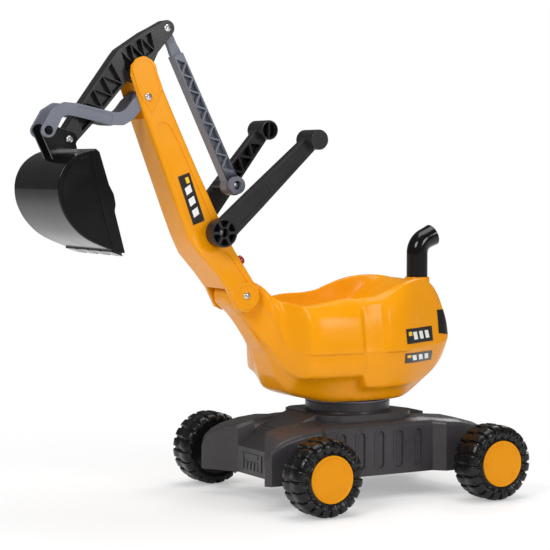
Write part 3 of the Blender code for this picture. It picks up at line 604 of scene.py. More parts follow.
class DIGGER_OT_house(bpy.types.Operator):
    """Swivelling body: side panels over a waist line, tucked underside, bucket seat and exhaust collar"""

    bl_idname = "digger.house"
    bl_label = "House"

    def execute(self, context):
        flute = context.scene.digger_sizes.flute
        rows = sorted({row[0] for row in HOUSE} | set(FLUTE_ROWS) | set(NECK_ROWS))
        rings = [house_ring(y, flute) for y in rows]
        for end in (0, -1):
            middle = sum((Vector(point) for point in rings[end]), Vector()) / len(rings[end])
            inner = [tuple(middle.lerp(Vector(point), 0.45)) for point in rings[end]]
            rings.insert(0 if end == 0 else len(rings), inner)
        shell = skin("house_body", rings)

        def along_waist(a, b):
            waist = eased(HOUSE, a.y)[4]
            flat = abs(a.z - waist) < 0.004 and abs(b.z - waist) < 0.008
            return flat and -0.137 < min(a.y, b.y) and max(a.y, b.y) < 0.09 and abs(a.x) > 0.06

        crease(shell, along_waist, 0.75)
        finish_modifier(shell, "SUBSURF", levels=2, render_levels=2)
        settle(shell, "house", LOOKS["body"], "yellow_body", "house_shell", smooth=60)
        SHELLS["house"] = shell

        socket = [(0.0181, 0.0), (0.0205, 0.0), (0.0212, 0.004), (0.0207, 0.0215), (0.0198, 0.0235)]
        socket += [(0.0186, 0.0238), (0.0181, 0.0230)]
        collar = turned("exhaust_collar", socket, (0, 0.137, 0.3255), (0, 0, 1), 64)
        settle(collar, "house", LOOKS["body"], "yellow_body")
        return {"FINISHED"}


class DIGGER_OT_exhaust(bpy.types.Operator):
    """Exhaust: a bent pipe, thick at the lip, open at its slanted mouth"""

    bl_idname = "digger.exhaust"
    bl_label = "Exhaust"

    def execute(self, context):
        line = [(0.137, 0.3330), (0.137, 0.3420), (0.137, 0.3560), (0.137, 0.3740), (0.137, 0.3860)]
        line += arc((0.163, 0.389), 0.026, 176, 118, 7) + [(0.1585, 0.4155), (0.1672, 0.4192)]
        rings = []
        for i, here in enumerate(line):
            ahead = Vector(line[min(i + 1, len(line) - 1)]) - Vector(line[max(i - 1, 0)])
            ahead.normalize()
            side = Vector((-ahead.y, ahead.x))
            radius = 0.0176 + (0.0006 if i == len(line) - 1 else 0.0)
            ring = []
            for k in range(48):
                angle = 2 * math.pi * k / 48
                flat = Vector(here) + side * radius * math.sin(angle)
                ring.append((radius * math.cos(angle), flat.x, flat.y))
            rings.append(ring)
        lip, mouth = rings[-1], Vector((0, *line[-1]))
        for shrink, back in ((0.93, -0.0012), (0.80, -0.0008), (0.76, 0.0014), (0.74, 0.011)):
            ahead = (Vector((0, *line[-1])) - Vector((0, *line[-2]))).normalized()
            rings.append([tuple(mouth.lerp(Vector(p), shrink) - ahead * back) for p in lip])
        pipe = skin("exhaust_stack", rings)
        settle(pipe, "house", LOOKS["gloss"], "black_gloss", "exhaust_pipe", smooth=50)
        return {"FINISHED"}


# Boom

# front y, front z, rear y, rear z, half width
BOOM = (
    (-0.2170, 0.3050, -0.2050, 0.3060, 0.0425),
    (-0.2290, 0.3110, -0.1930, 0.3130, 0.0425),
    (-0.2360, 0.3250, -0.1868, 0.3240, 0.0425),
    (-0.2440, 0.3410, -0.1868, 0.3380, 0.0425),
    (-0.2660, 0.3690, -0.2000, 0.3560, 0.0425),
    (-0.2920, 0.3970, -0.2130, 0.3770, 0.0405),
    (-0.3020, 0.4120, -0.2270, 0.4010, 0.0355),
    (-0.3100, 0.4260, -0.2400, 0.4260, 0.0330),
    (-0.3250, 0.4630, -0.2580, 0.4610, 0.0322),
    (-0.3490, 0.5250, -0.2910, 0.5280, 0.0313),
    (-0.3660, 0.5690, -0.3110, 0.5700, 0.0306),
    (-0.3800, 0.6060, -0.3300, 0.6110, 0.0300),
    (-0.3940, 0.6440, -0.3500, 0.6550, 0.0295),
    (-0.4040, 0.6720, -0.3600, 0.6720, 0.0295),
    (-0.4030, 0.6860, -0.3615, 0.6870, 0.0295),
    (-0.3950, 0.6960, -0.3690, 0.6965, 0.0295),
    (-0.3860, 0.7003, -0.3780, 0.7003, 0.0295),
)


def boom_ring(station, wall=0.0, soft=0.0062, count=4):
    fy, fz, ry, rz, half = station
    front, rear = Vector((fy, fz)), Vector((ry, rz))
    along = (rear - front).normalized()
    front, rear, half = front + along * wall, rear - along * wall, half - wall
    length = (rear - front).length
    edge = min(soft, length * 0.35)
    side = arc((half - edge, edge), edge, -90, 0, count)
    side += arc((half - edge, length - edge), edge, 0, 90, count)
    made = [(x, *(front + along * s)) for x, s in side]
    return made + [(-x, y, z) for x, y, z in reversed(made)]


# how far up the boom (in rows of its table), and where the recess starts and ends across it
PANEL = ((7.1, 0.30, 0.66), (7.3, 0.22, 0.74), (7.6, 0.18, 0.78), (8, 0.18, 0.78))
PANEL += ((9, 0.18, 0.78), (10, 0.20, 0.76))
PANEL += ((10.55, 0.24, 0.72), (10.72, 0.30, 0.66), (10.82, 0.40, 0.56))
HEEL = ((3.2, 0.66, 0.70), (3.5, 0.60, 0.76), (4, 0.58, 0.78), (5, 0.58, 0.78))
HEEL += ((5.6, 0.60, 0.76), (5.8, 0.66, 0.70))


def boom_groove(name, rows, depth, sign):
    """A cutter for a long shallow recess in the boom's side."""
    rings = []
    for up, start, end in rows:
        low_row, high_row = BOOM[int(up)], BOOM[min(int(up) + 1, len(BOOM) - 1)]
        fy, fz, ry, rz, half = (a + (b - a) * (up % 1) for a, b in zip(low_row, high_row))
        near, far = between((fy, fz), (ry, rz), start), between((fy, fz), (ry, rz), end)
        low, high = sign * (half - depth), sign * (half + 0.01)
        rings.append([(low, *near), (high, *near), (high, *far), (low, *far)])
    return skin(name, rings)


class DIGGER_OT_boom(bpy.types.Operator):
    """Boom: a hollow arm forked at both ends, with head plates, side grooves and the levers' hub"""

    bl_idname = "digger.boom"
    bl_label = "Boom"

    def execute(self, context):
        depth = context.scene.digger_sizes.groove
        shell = skin("boom_arm", [boom_ring(row) for row in BOOM])
        carve(shell, skin("inside", [boom_ring(row, 0.0035) for row in BOOM[4:13]]))
        yoke = [(-0.2445, 0.3425), (-0.28, 0.335), (-0.28, 0.28), (-0.16, 0.28), (-0.16, 0.362)]
        yoke += [(-0.192, 0.362)] + arc(BOOM_BASE, 0.0315, 75, 150, 10)
        carve(shell, slab("yoke", yoke, -0.0305, 0.0305))
        fork = [(-0.45, 0.606), (-0.30, 0.606), (-0.30, 0.74), (-0.45, 0.74)]
        carve(shell, slab("fork", fork, -0.0245, 0.0245))
        head = arc(STICK_AXIS, 0.0210, 175, 0, 18)
        head += [(-0.3515, 0.6535), (-0.3700, 0.6140), (-0.3910, 0.6440)]
        face = arc(STICK_AXIS, 0.0170, 172, 0, 18)
        face += [(-0.3560, 0.6540), (-0.3706, 0.6225), (-0.3872, 0.6460)]
        for sign in (-1, 1):
            plate = slab("head_plate", head, *sorted((sign * 0.0275, sign * 0.0310)), edge=0.0008)
            carve(plate, slab("head_face", face, *sorted((sign * 0.0304, sign * 0.04))))
            weld(shell, plate)
        weld(shell, bar("lever_boss", LEVER_AXIS, -0.0392, 0.0392, 0.017, 40, 0.001))
        for sign in (-1, 1):
            carve(shell, boom_groove("panel", PANEL, depth, sign))
            carve(shell, boom_groove("heel", HEEL, depth, sign))
            ring = sorted((sign * 0.040, sign * 0.0437))
            rim = slab("boss_ring", arc(BOOM_BASE, 0.0215, 0, 355, 47), *ring, edge=0.0008)
            carve(rim, bar("boss_dish", BOOM_BASE, *sorted((sign * 0.0429, sign * 0.05)), 0.0165))
            weld(shell, rim)
        carve(shell, bar("lever_bore", LEVER_AXIS, -0.05, 0.05, 0.0043, 24))
        carve(shell, bar("stick_bore", STICK_AXIS, -0.0275, 0.0275, 0.0045, 24))
        carve(shell, bar("link_bore", LINK_AXIS, -0.05, 0.05, 0.0033, 24))
        carve(shell, bar("base_bore", BOOM_BASE, -0.06, 0.06, 0.0033, 24))
        settle(shell, "boom", LOOKS["body"], "yellow_body", "boom_shell", smooth=28)
        SHELLS["boom"] = shell
        return {"FINISHED"}


class DIGGER_OT_knob(bpy.types.Operator):
    """Lock knob: a domed red button on the back of the boom"""

    bl_idname = "digger.knob"
    bl_label = "Lock knob"

    def execute(self, context):
        inward = Vector((0, -math.cos(0.46), -math.sin(0.46)))
        outline = [(0.0, 0.0), (0.0035, 0.0002), (0.0060, 0.0010), (0.0072, 0.0024), (0.0075, 0.0042)]
        outline += [(0.0075, 0.0295), (0.0092, 0.0300), (0.0092, 0.0328), (0.0, 0.0330)]
        knob = turned("knob_button", outline, (0, -0.196, 0.3875), inward, 48)
        settle(knob, "knob", LOOKS["knob"], "red_knob", "lock_knob")
        return {"FINISHED"}


# Undercarriage

# y, half width, arm top z, spine top z
COVER = (
    (0.2150, 0.106, 0.087, 0.070),
    (0.2080, 0.115, 0.097, 0.073),
    (0.1960, 0.116, 0.107, 0.077),
    (0.1800, 0.116, 0.114, 0.082),
    (0.1500, 0.116, 0.121, 0.101),
    (0.1495, 0.116, 0.121, 0.107),
    (0.1180, 0.116, 0.124, 0.122),
    (0.1020, 0.100, 0.125, 0.129),
    (0.0880, 0.100, 0.126, 0.134),
)
COVER = [(-y, *rest) for y, *rest in COVER] + list(reversed(COVER))
BOTTOM = 0.039
SPINE = 0.044
WALL = 0.0035


def cover_ring(station):
    y, half, top, spine = station
    side = [(half - 0.0008, BOTTOM), (half, BOTTOM + 0.001), (half, top - 0.024)]
    side += arc((half - 0.011, top - 0.013), 0.0108, 4, 60, 4)
    side += [(half - 0.016, top - 0.0005), (half - 0.022, top), (SPINE + 0.004, top + 0.0018)]
    side += [(SPINE + 0.0012, top * 0.8 + spine * 0.2), (SPINE, spine + 0.001), (SPINE - 0.002, spine)]
    return [(x, y, z) for x, z in side] + [(-x, y, z) for x, z in reversed(side)]


def arm_hollow(station, sign):
    y, half, top, spine = station
    inside = SPINE + WALL + max(abs(y) - 0.176, 0) * 60 / 35
    y = math.copysign(abs(y) - (WALL if abs(y) > 0.19 else 0), y)
    half, top = half - WALL, min(top, spine + 0.03) - WALL
    side = [(inside, 0.02), (half, 0.02), (half, top - 0.022), (half - 0.003, top - 0.008)]
    side += [(max(half - 0.017, inside + 0.001), top - 0.001), (inside, top - 0.001)]
    return [(sign * x, y, z) for x, z in side]


def mirrored(half):
    """A plan outline from the points of its +X half, which run from front to rear."""
    return half + [(-x, y) for x, y in reversed(half)]


class DIGGER_OT_undercarriage(bpy.types.Operator):
    """Undercarriage: a moulded cover with four splayed arms, side slots, cast-in bars and the collar"""

    bl_idname = "digger.undercarriage"
    bl_label = "Undercarriage"

    def execute(self, context):
        cover = skin("undercarriage_cover", [cover_ring(row) for row in COVER])
        for end in (-1, 1):
            notch = [(-SPINE, 0.180 * end), (SPINE, 0.180 * end), (0.116, 0.2219 * end)]
            notch += [(-0.116, 0.2219 * end)]
            carve(cover, slab("notch", rounded(notch, 0.006, 4), 0.02, 0.15, "Z"))
        flange = [(0.062, -0.084), (0.084, -0.062)]
        flange = mirrored(flange + [(x, -y) for x, y in reversed(flange)])
        weld(cover, slab("flange", rounded(flange, 0.010, 4), 0.118, 0.136, "Z", edge=0.0015, steps=3))
        weld(cover, round_bar("collar_foot", (0, 0, 0.134), (0, 0, 1), 0.008, 0.0735, 64, 0.0015))
        height = COLLAR_TOP - 0.124
        middle = (0, 0, COLLAR_TOP - height / 2)
        weld(cover, round_bar("collar", middle, (0, 0, 1), height, 0.0695, 64, 0.0010))
        for sign in (-1, 1):
            carve(cover, skin("hollow", [arm_hollow(row, sign) for row in COVER[1:-1]]))
        inner = [(-0.1765, 0.02), (-0.1765, 0.078), (-0.147, 0.0975), (-0.088, 0.129)]
        inner += [(-y, z) for y, z in reversed(inner)]
        carve(cover, slab("inner", inner, -0.0405, 0.0405))
        carve(cover, round_bar("inner_bore", (0, 0, 0.12375), (0, 0, 1), 0.0475, 0.0655, 48))
        long_rib = [(-0.178, 0.045), (-0.178, 0.078), (-0.147, 0.098), (-0.090, 0.124)]
        long_rib += [(-y, z) for y, z in reversed(long_rib)]
        weld(cover, slab("long_rib", long_rib, -0.0015, 0.0015))
        cross = [(0.0975, 0.045), (0.0975, 0.103), (0.093, 0.117), (0.080, 0.123), (0.046, 0.124)]
        for y in (-0.075, 0.0, 0.075):
            weld(cover, slab("cross_rib", mirrored(cross), y - 0.0015, y + 0.0015, "Y"))
        for end in (-1, 1):
            carve(cover, bar("sleeve_bore", (end * 0.1585, 0.0605), -0.2, 0.2, 0.0123, 32))
        carve(cover, round_bar("king_bore", (0, 0, 0.15), (0, 0, 1), 0.02, 0.0055, 24))
        for sign in (-1, 1):
            for i in range(5):
                y = 0.036 * (i - 2)
                rim = arc((y, 0.057), 0.0105, 180, 360, 14) + arc((y, 0.103), 0.0105, 0, 180, 14)
                frame_ends = sorted((sign * 0.0985, sign * 0.1012))
                weld(cover, slab("slot_rim", rim, *frame_ends, edge=0.0008))
                shape = arc((y, 0.057), 0.0075, 180, 360, 12) + arc((y, 0.103), 0.0075, 0, 180, 12)
                carve(cover, slab("slot", shape, *sorted((sign * 0.0978, sign * 0.11))))
        for end in (-1, 1):
            for y in (0.1470, 0.1390):
                z, run, rise = 0.1070 + (0.1495 - y) * 0.476, 0.0046, 0.0022
                step = [(end * y, z - 0.002), (end * (y - run), z + rise - 0.002)]
                step += [(end * (y - run), z + rise + 0.0012), (end * y, z + 0.0012)]
                weld(cover, slab("step_bar", step, -0.031, 0.031))
            face = end * 0.1800
            raised = sorted((face - end * 0.002, face + end * 0.0016))
            for x, low, high in ((-0.029, 0.047, 0.074), (0.029, 0.047, 0.074), (0.0, 0.066, 0.074)):
                wide = 0.004 if x else 0.022
                post = [(x - wide, low), (x + wide, low), (x + wide, high), (x - wide, high)]
                weld(cover, slab("cast_bar", rounded(post, 0.0015), *raised, axis="Y"))
            for i in range(4):
                x = 0.0115 * (i - 1.5)
                post = [(x - 0.0032, 0.047), (x + 0.0032, 0.047), (x + 0.0052, 0.061), (x - 0.0012, 0.061)]
                weld(cover, slab("cast_rib", rounded(post, 0.001), *raised, axis="Y"))
        settle(cover, "undercarriage", LOOKS["frame"], "dark_frame", "chassis_cover", smooth=30)
        return {"FINISHED"}


# Wheels

# radius, distance out from the tyre's middle, how much the lugs lift this point
TYRE = (
    (0.0056, -0.0300, 0.0),
    (0.0200, -0.0285, 0.0),
    (0.0340, -0.0262, 0.0),
    (0.0400, -0.0258, 0.0),
    (0.0440, -0.0268, 0.0),
    (0.0470, -0.0280, 0.2),
    (0.0505, -0.0284, 0.6),
    (0.0535, -0.0276, 0.9),
    (0.0562, -0.0255, 1.0),
    (0.0588, -0.0218, 1.0),
    (0.0600, -0.0185, 1.0),
    (0.0604, -0.0140, 1.0),
    (0.0605, -0.0090, 1.0),
    (0.0605, -0.0030, 1.0),
    (0.0605, 0.0030, 1.0),
    (0.0605, 0.0090, 1.0),
    (0.0604, 0.0140, 1.0),
    (0.0600, 0.0185, 1.0),
    (0.0588, 0.0218, 1.0),
    (0.0562, 0.0255, 1.0),
    (0.0535, 0.0276, 0.9),
    (0.0505, 0.0284, 0.6),
    (0.0470, 0.0283, 0.2),
    (0.0445, 0.0272, 0.0),
    (0.0425, 0.0264, 0.0),
    (0.0402, 0.0268, 0.0),
    (0.0386, 0.0284, 0.0),
    (0.0378, 0.0290, 0.0),
    (0.0376, 0.0270, 0.0),
    (0.0376, 0.0165, 0.0),
    (0.0056, 0.0165, 0.0),
)


def lug_wave(turn, lugs, share):
    """1 on a lug and 0 in the groove beside it, share being the lug's part of the pitch."""
    t = abs((turn * lugs / (2 * math.pi)) % 1 - 0.5) * 2
    return 1 - step_up(t, share, 0.16)


class DIGGER_OT_wheels(bpy.types.Operator):
    """Wheels: lugged tyres with ribbed side walls, and pressed-in hub caps with cast pips"""

    bl_idname = "digger.wheels"
    bl_label = "Wheels"

    def execute(self, context):
        sizes = context.scene.digger_sizes
        steps = sizes.lugs * 12
        pattern = turned("tyre_pattern", [(r, h) for r, h, _ in TYRE], (0, 0, 0), (1, 0, 0), steps)
        lift_at = {(round(r, 5), round(h, 5)): lift for r, h, lift in TYRE}
        for vertex in pattern.data.vertices:
            x, y, z = vertex.co
            radius, turn = math.hypot(y, z), math.atan2(y, -z) % (2 * math.pi)
            lift = lift_at.get((round(radius, 5), round(x, 5)), 0)
            shift = 0.13 * math.copysign(min(abs(x) / 0.004, 1), x)
            groove = 1 - lug_wave(turn + shift / sizes.lugs * math.pi, sizes.lugs, 0.74)
            drop = sizes.lug_height * lift * groove
            if abs(x) < 0.0035 and radius > 0.06:
                drop = max(drop, 0.0012)
            block = lug_wave(turn, sizes.lugs, 0.42) if 0.0425 < radius < 0.0480 and x > 0.02 else 0
            rib = lug_wave(turn, sizes.lugs * 2, 0.35) if 0.048 < radius < 0.0530 and x > 0.02 else 0
            side = 0.0016 * groove if x > 0.02 and 0.0405 < radius < 0.0570 else 0
            scale = (radius - drop) / radius
            sunk = side + 0.25 * drop * math.copysign(lift, x)
            vertex.co = (x + 0.0011 * block + 0.0005 * rib - sunk, y * scale, z * scale)
        dome = [(0, 0.0295), (0.0120, 0.0294), (0.0230, 0.0290), (0.0310, 0.0283), (0.0325, 0.0285)]
        dome += [(0.0335, 0.0296), (0.0350, 0.0300), (0.0364, 0.0297), (0.0370, 0.0285), (0.0370, 0.0257)]
        dome += [(0, 0.0255)]
        for row, y in (("front", -0.1585), ("rear", 0.1585)):
            for sign, hand in ((1, "left"), (-1, "right")):
                centre = Vector((sign * 0.1845, y, 0.0605))
                turn = Matrix.Diagonal((sign, 1, 1, 1))
                tyre = pattern.copy()
                tyre.data = pattern.data.copy()
                bpy.context.collection.objects.link(tyre)
                tyre.name = tyre.data.name = f"wheel_tyre_{row}_{hand}"
                tyre.data.transform(Matrix.Translation(centre) @ turn)
                face_out(tyre)
                body = f"wheel_{row}_{hand}"
                settle(tyre, body, LOOKS["tyre"], "black_gloss", f"tyre_{row}_{hand}", smooth=38)
                cap = turned("cap", [(r, sign * h) for r, h in dome], centre, (1, 0, 0), 72)
                pips = []
                for i in range(5):
                    for reach in (0.0235, 0.0275):
                        angle = 2 * math.pi * (i + (0.25 if reach > 0.025 else 0)) / 5 + 0.3
                        at = (y + reach * math.cos(angle), 0.0605 + reach * math.sin(angle))
                        ends = sorted((sign * (0.1845 + 0.0270), sign * (0.1845 + 0.0294)))
                        pips.append(bar("pip", at, *ends, 0.0021, 16, 0.0004))
                weld(cap, *pips)
                cap.name = cap.data.name = f"wheel_cap_{row}_{hand}"
                settle(cap, body, LOOKS["cap"], "yellow_body", f"hub_cap_{row}_{hand}")
        bpy.data.objects.remove(pattern, do_unlink=True)
        return {"FINISHED"}


# Levers

LEVERS = (
    ("left", 1, math.radians(47), "boom", False),
    ("right", -1, math.radians(40.3), "control_lever", True),
)
LEVER_LENGTH = 0.212
SPLAY = math.radians(3.6)


class DIGGER_OT_levers(bpy.types.Operator):
    """Levers: ribbed hubs, tapered arms latticed on the inner face, and T grips hollow at one end"""

    bl_idname = "digger.levers"
    bl_label = "Levers"

    def execute(self, context):
        for hand, sign, lean, body, crank in LEVERS:
            reach = (LEVER_LENGTH * math.sin(lean), LEVER_LENGTH * math.cos(lean))
            tip = (LEVER_AXIS[0] + reach[0], LEVER_AXIS[1] + reach[1])
            at_hub = Matrix.Translation((0, *LEVER_AXIS))
            splay = Matrix.Rotation(sign * -SPLAY, 4, (0, -math.cos(lean), math.sin(lean)))
            slope = at_hub @ splay @ at_hub.inverted()

            def span(low, high):
                return sorted((sign * low, sign * high))

            def slanted(obj):
                obj.data.transform(slope)
                return obj

            lever = bar(f"{hand}_lever", LEVER_AXIS, *span(0.0395, 0.0610), 0.0225, 56, 0.0010)
            widths = ((0.0, 0.0185), (0.35, 0.0170), (1.0, 0.0125))
            shape = [between(LEVER_AXIS, tip, t, s) for t, s in widths]
            shape += [between(LEVER_AXIS, tip, t, -s) for t, s in reversed(widths)]
            weld(lever, slanted(slab("arm", shape, *span(0.0425, 0.0585), edge=0.0016, steps=3)))
            if crank:
                weld(lever, bar("crank", ROD_LOW, -0.0500, -0.0110, 0.0092, 32, 0.0006))
            first, wide, cells = (0.50, 0.0135, 6) if crank else (0.13, 0.0155, 12)
            start, end = between(LEVER_AXIS, tip, first), between(LEVER_AXIS, tip, 0.92)
            carve(lever, slanted(pockets(start, end, wide, 0.0105, cells, *span(0.0325, 0.0550), 0.0016)))
            for low_t, high_t in ((0.16, 0.50), (0.53, 0.88)):
                panel = [between(LEVER_AXIS, tip, t, s) for t, s in ((low_t, 0.0095), (high_t, 0.0080))]
                panel += [between(LEVER_AXIS, tip, t, -s) for t, s in ((high_t, 0.0080), (low_t, 0.0095))]
                carve(lever, slanted(slab("panel", rounded(panel, 0.004), *span(0.0576, 0.07))))
            grip_x = sign * (0.0505 + LEVER_LENGTH * math.sin(SPLAY))
            weld(lever, bar("grip", tip, grip_x - 0.024, grip_x + 0.024, 0.016, 48, 0.0020))
            carve(lever, *[
                slab("hub_pocket", rounded(
                    arc(LEVER_AXIS, 0.0197, 60 * i + 6, 60 * i + 54, 6)
                    + arc(LEVER_AXIS, 0.0088, 60 * i + 46, 60 * i + 14, 3), 0.0006, 2), *span(0.0475, 0.07))
                for i in range(6)
            ])
            carve(lever, bar("bolt_well", LEVER_AXIS, *span(0.0475, 0.07), 0.0072, 32))
            carve(lever, bar("bolt_bore", LEVER_AXIS, -0.1, 0.1, 0.0043, 24))
            hollow = sorted((grip_x - sign * 0.034, grip_x - sign * 0.010))
            carve(lever, bar("grip_hollow", tip, *hollow, 0.0130, 40))
            cross = [(-0.0010, -0.0125), (0.0010, -0.0125), (0.0010, 0.0125), (-0.0010, 0.0125)]
            ribs = [(tip[0] + u, tip[1] + v) for u, v in cross]
            weld(lever, slab("grip_rib", ribs, *sorted((grip_x - sign * 0.022, grip_x - sign * 0.008))))
            if crank:
                carve(lever, bar("screw_bore", ROD_LOW, -0.0360, 0.1, 0.0033, 24))
            settle(lever, body, LOOKS["arm"], "dark_frame", f"lever_{hand}", smooth=30)
        return {"FINISHED"}


# Stick, push rod and link


class DIGGER_OT_push_rod(bpy.types.Operator):
    """Push rod: a beam with triangular webs each side, a round foot and a thin top eye"""

    bl_idname = "digger.push_rod"
    bl_label = "Push rod"

    def execute(self, context):
        rod = bar("push_rod_beam", ROD_LOW, -0.0105, 0.0105, 0.0160, 48, 0.0008)
        beam = ((0.02, 0.0105), (0.835, 0.0088), (0.835, -0.0088), (0.02, -0.0105))
        shape = [between(ROD_LOW, ROD_TOP, t, s) for t, s in beam]
        weld(rod, slab("beam", shape, -0.0105, 0.0105, edge=0.0008))
        tongue = ((0.81, 0.0088), (0.86, 0.0086), (0.89, 0.0075), (1.0, 0.0075))
        tongue += ((1.0, -0.0075), (0.89, -0.0075), (0.86, -0.0086), (0.81, -0.0088))
        shape = [between(ROD_LOW, ROD_TOP, t, s) for t, s in tongue]
        weld(rod, slab("tongue", shape, -0.0045, 0.0045, edge=0.0006))
        weld(rod, bar("top_eye", ROD_TOP, -0.0045, 0.0045, 0.0090, 36, 0.0006))
        low, high = between(ROD_LOW, ROD_TOP, 0.075), between(ROD_LOW, ROD_TOP, 0.825)
        for face in ((0.0020, 0.02), (-0.02, -0.0020)):
            carve(rod, pockets(low, high, 0.0088, 0.0071, 15, *face, 0.0008, 0.0006))
        for sign in (-1, 1):
            ring = bar("dish", ROD_LOW, *sorted((sign * 0.0090, sign * 0.02)), 0.0138, 40)
            carve(ring, bar("core", ROD_LOW, *sorted((sign * 0.0080, sign * 0.03)), 0.0072, 32))
            carve(rod, ring)
        carve(rod, bar("low_bore", ROD_LOW, -0.05, 0.05, 0.0033, 24))
        carve(rod, bar("top_bore", ROD_TOP, -0.05, 0.05, 0.0045, 24))
        settle(rod, "drive_rod", LOOKS["link"], "grey_link", "push_rod", smooth=30)
        return {"FINISHED"}


class DIGGER_OT_stick(bpy.types.Operator):
    """Stick: a cranked beam with lattice pockets each side, slotted at its tail for the push rod"""

    bl_idname = "digger.stick"
    bl_label = "Stick"

    def execute(self, context):
        shape = rounded([(-0.3580, 0.7470), (-0.3750, 0.7385), (-0.4170, 0.7110), (-0.4250, 0.7010)], 0.003)
        shape = [(-0.3580, 0.7470)] + shape[4:12] + [(-0.4250, 0.7010), (-0.4860, 0.6180)]
        shape += arc(BUCKET_AXIS, 0.0128, 150, 310, 14)
        shape += [(-0.4600, 0.5980), (-0.4400, 0.6200), (-0.4200, 0.6430), (-0.4030, 0.6620)]
        shape += arc(STICK_AXIS, 0.0165, 215, 330, 10)
        shape += [(-0.3500, 0.7080)] + arc(ROD_TOP, 0.0125, -45, 120, 14)
        stick = slab("stick_beam", shape, -0.0115, 0.0115, edge=0.0009)
        weld(stick, bar("pivot_boss", STICK_AXIS, -0.0235, 0.0235, 0.0110, 40, 0.0006))
        lattices = (
            ((-0.4868, 0.5925), (-0.4145, 0.6800), 0.0122, 0.0184, 9),
            ((-0.4135, 0.6910), (-0.3540, 0.7285), 0.0176, 0.0145, 7),
        )
        for face in ((0.0020, 0.02), (-0.02, -0.0020)):
            for lattice in lattices:
                carve(stick, pockets(*lattice, *face, 0.0008, 0.0005))
        carve(stick, bar("bucket_bore", BUCKET_AXIS, -0.05, 0.05, 0.0033, 24))
        carve(stick, bar("stick_bore", STICK_AXIS, -0.05, 0.05, 0.0045, 24))
        carve(stick, bar("rod_bore", ROD_TOP, -0.05, 0.05, 0.0033, 24))
        slot = arc(ROD_TOP, 0.0100, 20, 170, 8) + [(-0.3480, 0.7150), (-0.3360, 0.6900), (-0.3000, 0.7200)]
        carve(stick, slab("tail_slot", slot, -0.0055, 0.0055))
        settle(stick, "dipper", LOOKS["arm"], "dark_frame", "stick", smooth=30)
        return {"FINISHED"}


LINK_LINE = [LINK_STUB, (-0.5230, 0.6120), (-0.5100, 0.6200), (-0.4910, 0.6180), (-0.4330, 0.6060)]
LINK_LINE += [(-0.4160, 0.6055), (-0.4030, 0.6130), (-0.3910, 0.6280), LINK_AXIS]


def link_outline(half, foot, top):
    left, right = [], []
    for i, at in enumerate(LINK_LINE[1:-1], 1):
        run = Vector(LINK_LINE[i + 1]) - Vector(LINK_LINE[i - 1])
        side = Vector((-run.y, run.x)).normalized() * half
        left.append(tuple(Vector(at) + side))
        right.append(tuple(Vector(at) - side))
    down = Vector(LINK_LINE[0]) - Vector(LINK_LINE[1])
    up = Vector(LINK_AXIS) - Vector(LINK_LINE[-2])
    foot_turn, top_turn = (math.degrees(math.atan2(v.y, v.x)) for v in (down, up))
    right.reverse()
    shape = [left[0]] + rounded(left, 0.004)[4:-4] + [left[-1]]
    shape += arc(LINK_AXIS, top, top_turn + 90, top_turn - 90, 14)
    shape += [right[0]] + rounded(right, 0.004)[4:-4] + [right[-1]]
    return shape + arc(LINK_STUB, foot, foot_turn + 90, foot_turn - 90, 14)


class DIGGER_OT_link(bpy.types.Operator):
    """Bucket link: two cranked plates with a sunk face, joined by a spacer on the boom's bolt"""

    bl_idname = "digger.link"
    bl_label = "Bucket link"

    def execute(self, context):
        for sign, hand in ((1, "left"), (-1, "right")):
            ends = sorted((sign * 0.0185, sign * 0.0235))
            outline = link_outline(0.0100, 0.0112, 0.0105)
            plate = slab(f"link_arm_{hand}", outline, *ends, edge=0.0010, steps=3)
            inner = sorted((sign * 0.0227, sign * 0.03))
            line = LINK_LINE[3:6]
            sunk = [between(line[0], line[1], 0.0, 0.0062), between(line[0], line[1], 1.0, 0.0062)]
            sunk += [between(line[0], line[1], 1.0, -0.0062), between(line[0], line[1], 0.0, -0.0062)]
            carve(plate, slab("sunk_face", rounded(sunk, 0.002), *inner))
            carve(plate, bar("stub_eye", LINK_STUB, -0.05, 0.05, 0.0070, 32))
            carve(plate, bar("bolt_eye", LINK_AXIS, -0.05, 0.05, 0.0034, 24))
            settle(plate, "bucket_link", LOOKS["link"], "grey_link", f"link_plate_{hand}", smooth=30)
        spacer = bar("link_tube", LINK_AXIS, -0.0182, 0.0182, 0.0070, 36, 0.0006)
        carve(spacer, bar("tube_bore", LINK_AXIS, -0.05, 0.05, 0.0034, 24))
        settle(spacer, "bucket_link", LOOKS["link"], "grey_link", "link_spacer")
        return {"FINISHED"}


# Bucket

BACK = [(-0.4480, 0.4030), (-0.5010, 0.4250), (-0.5280, 0.4470), (-0.5440, 0.4730), (-0.5490, 0.4980)]
BACK += [(-0.5455, 0.5200), (-0.5330, 0.5400), (-0.5120, 0.5540), (-0.4880, 0.5600)]
INNER = [(-0.4440, 0.4062), (-0.4990, 0.4290), (-0.5250, 0.4500), (-0.5405, 0.4745), (-0.5455, 0.4975)]
INNER += [(-0.5420, 0.5180), (-0.5305, 0.5370), (-0.5110, 0.5505), (-0.4870, 0.5565)]


def flowing(points, count):
    """A smooth curve through points, with count steps between each pair."""
    rows = [(i, *point) for i, point in enumerate(points)]
    last = (len(points) - 1) * count
    return [tuple(eased(rows, i / count)) for i in range(last + 1)]


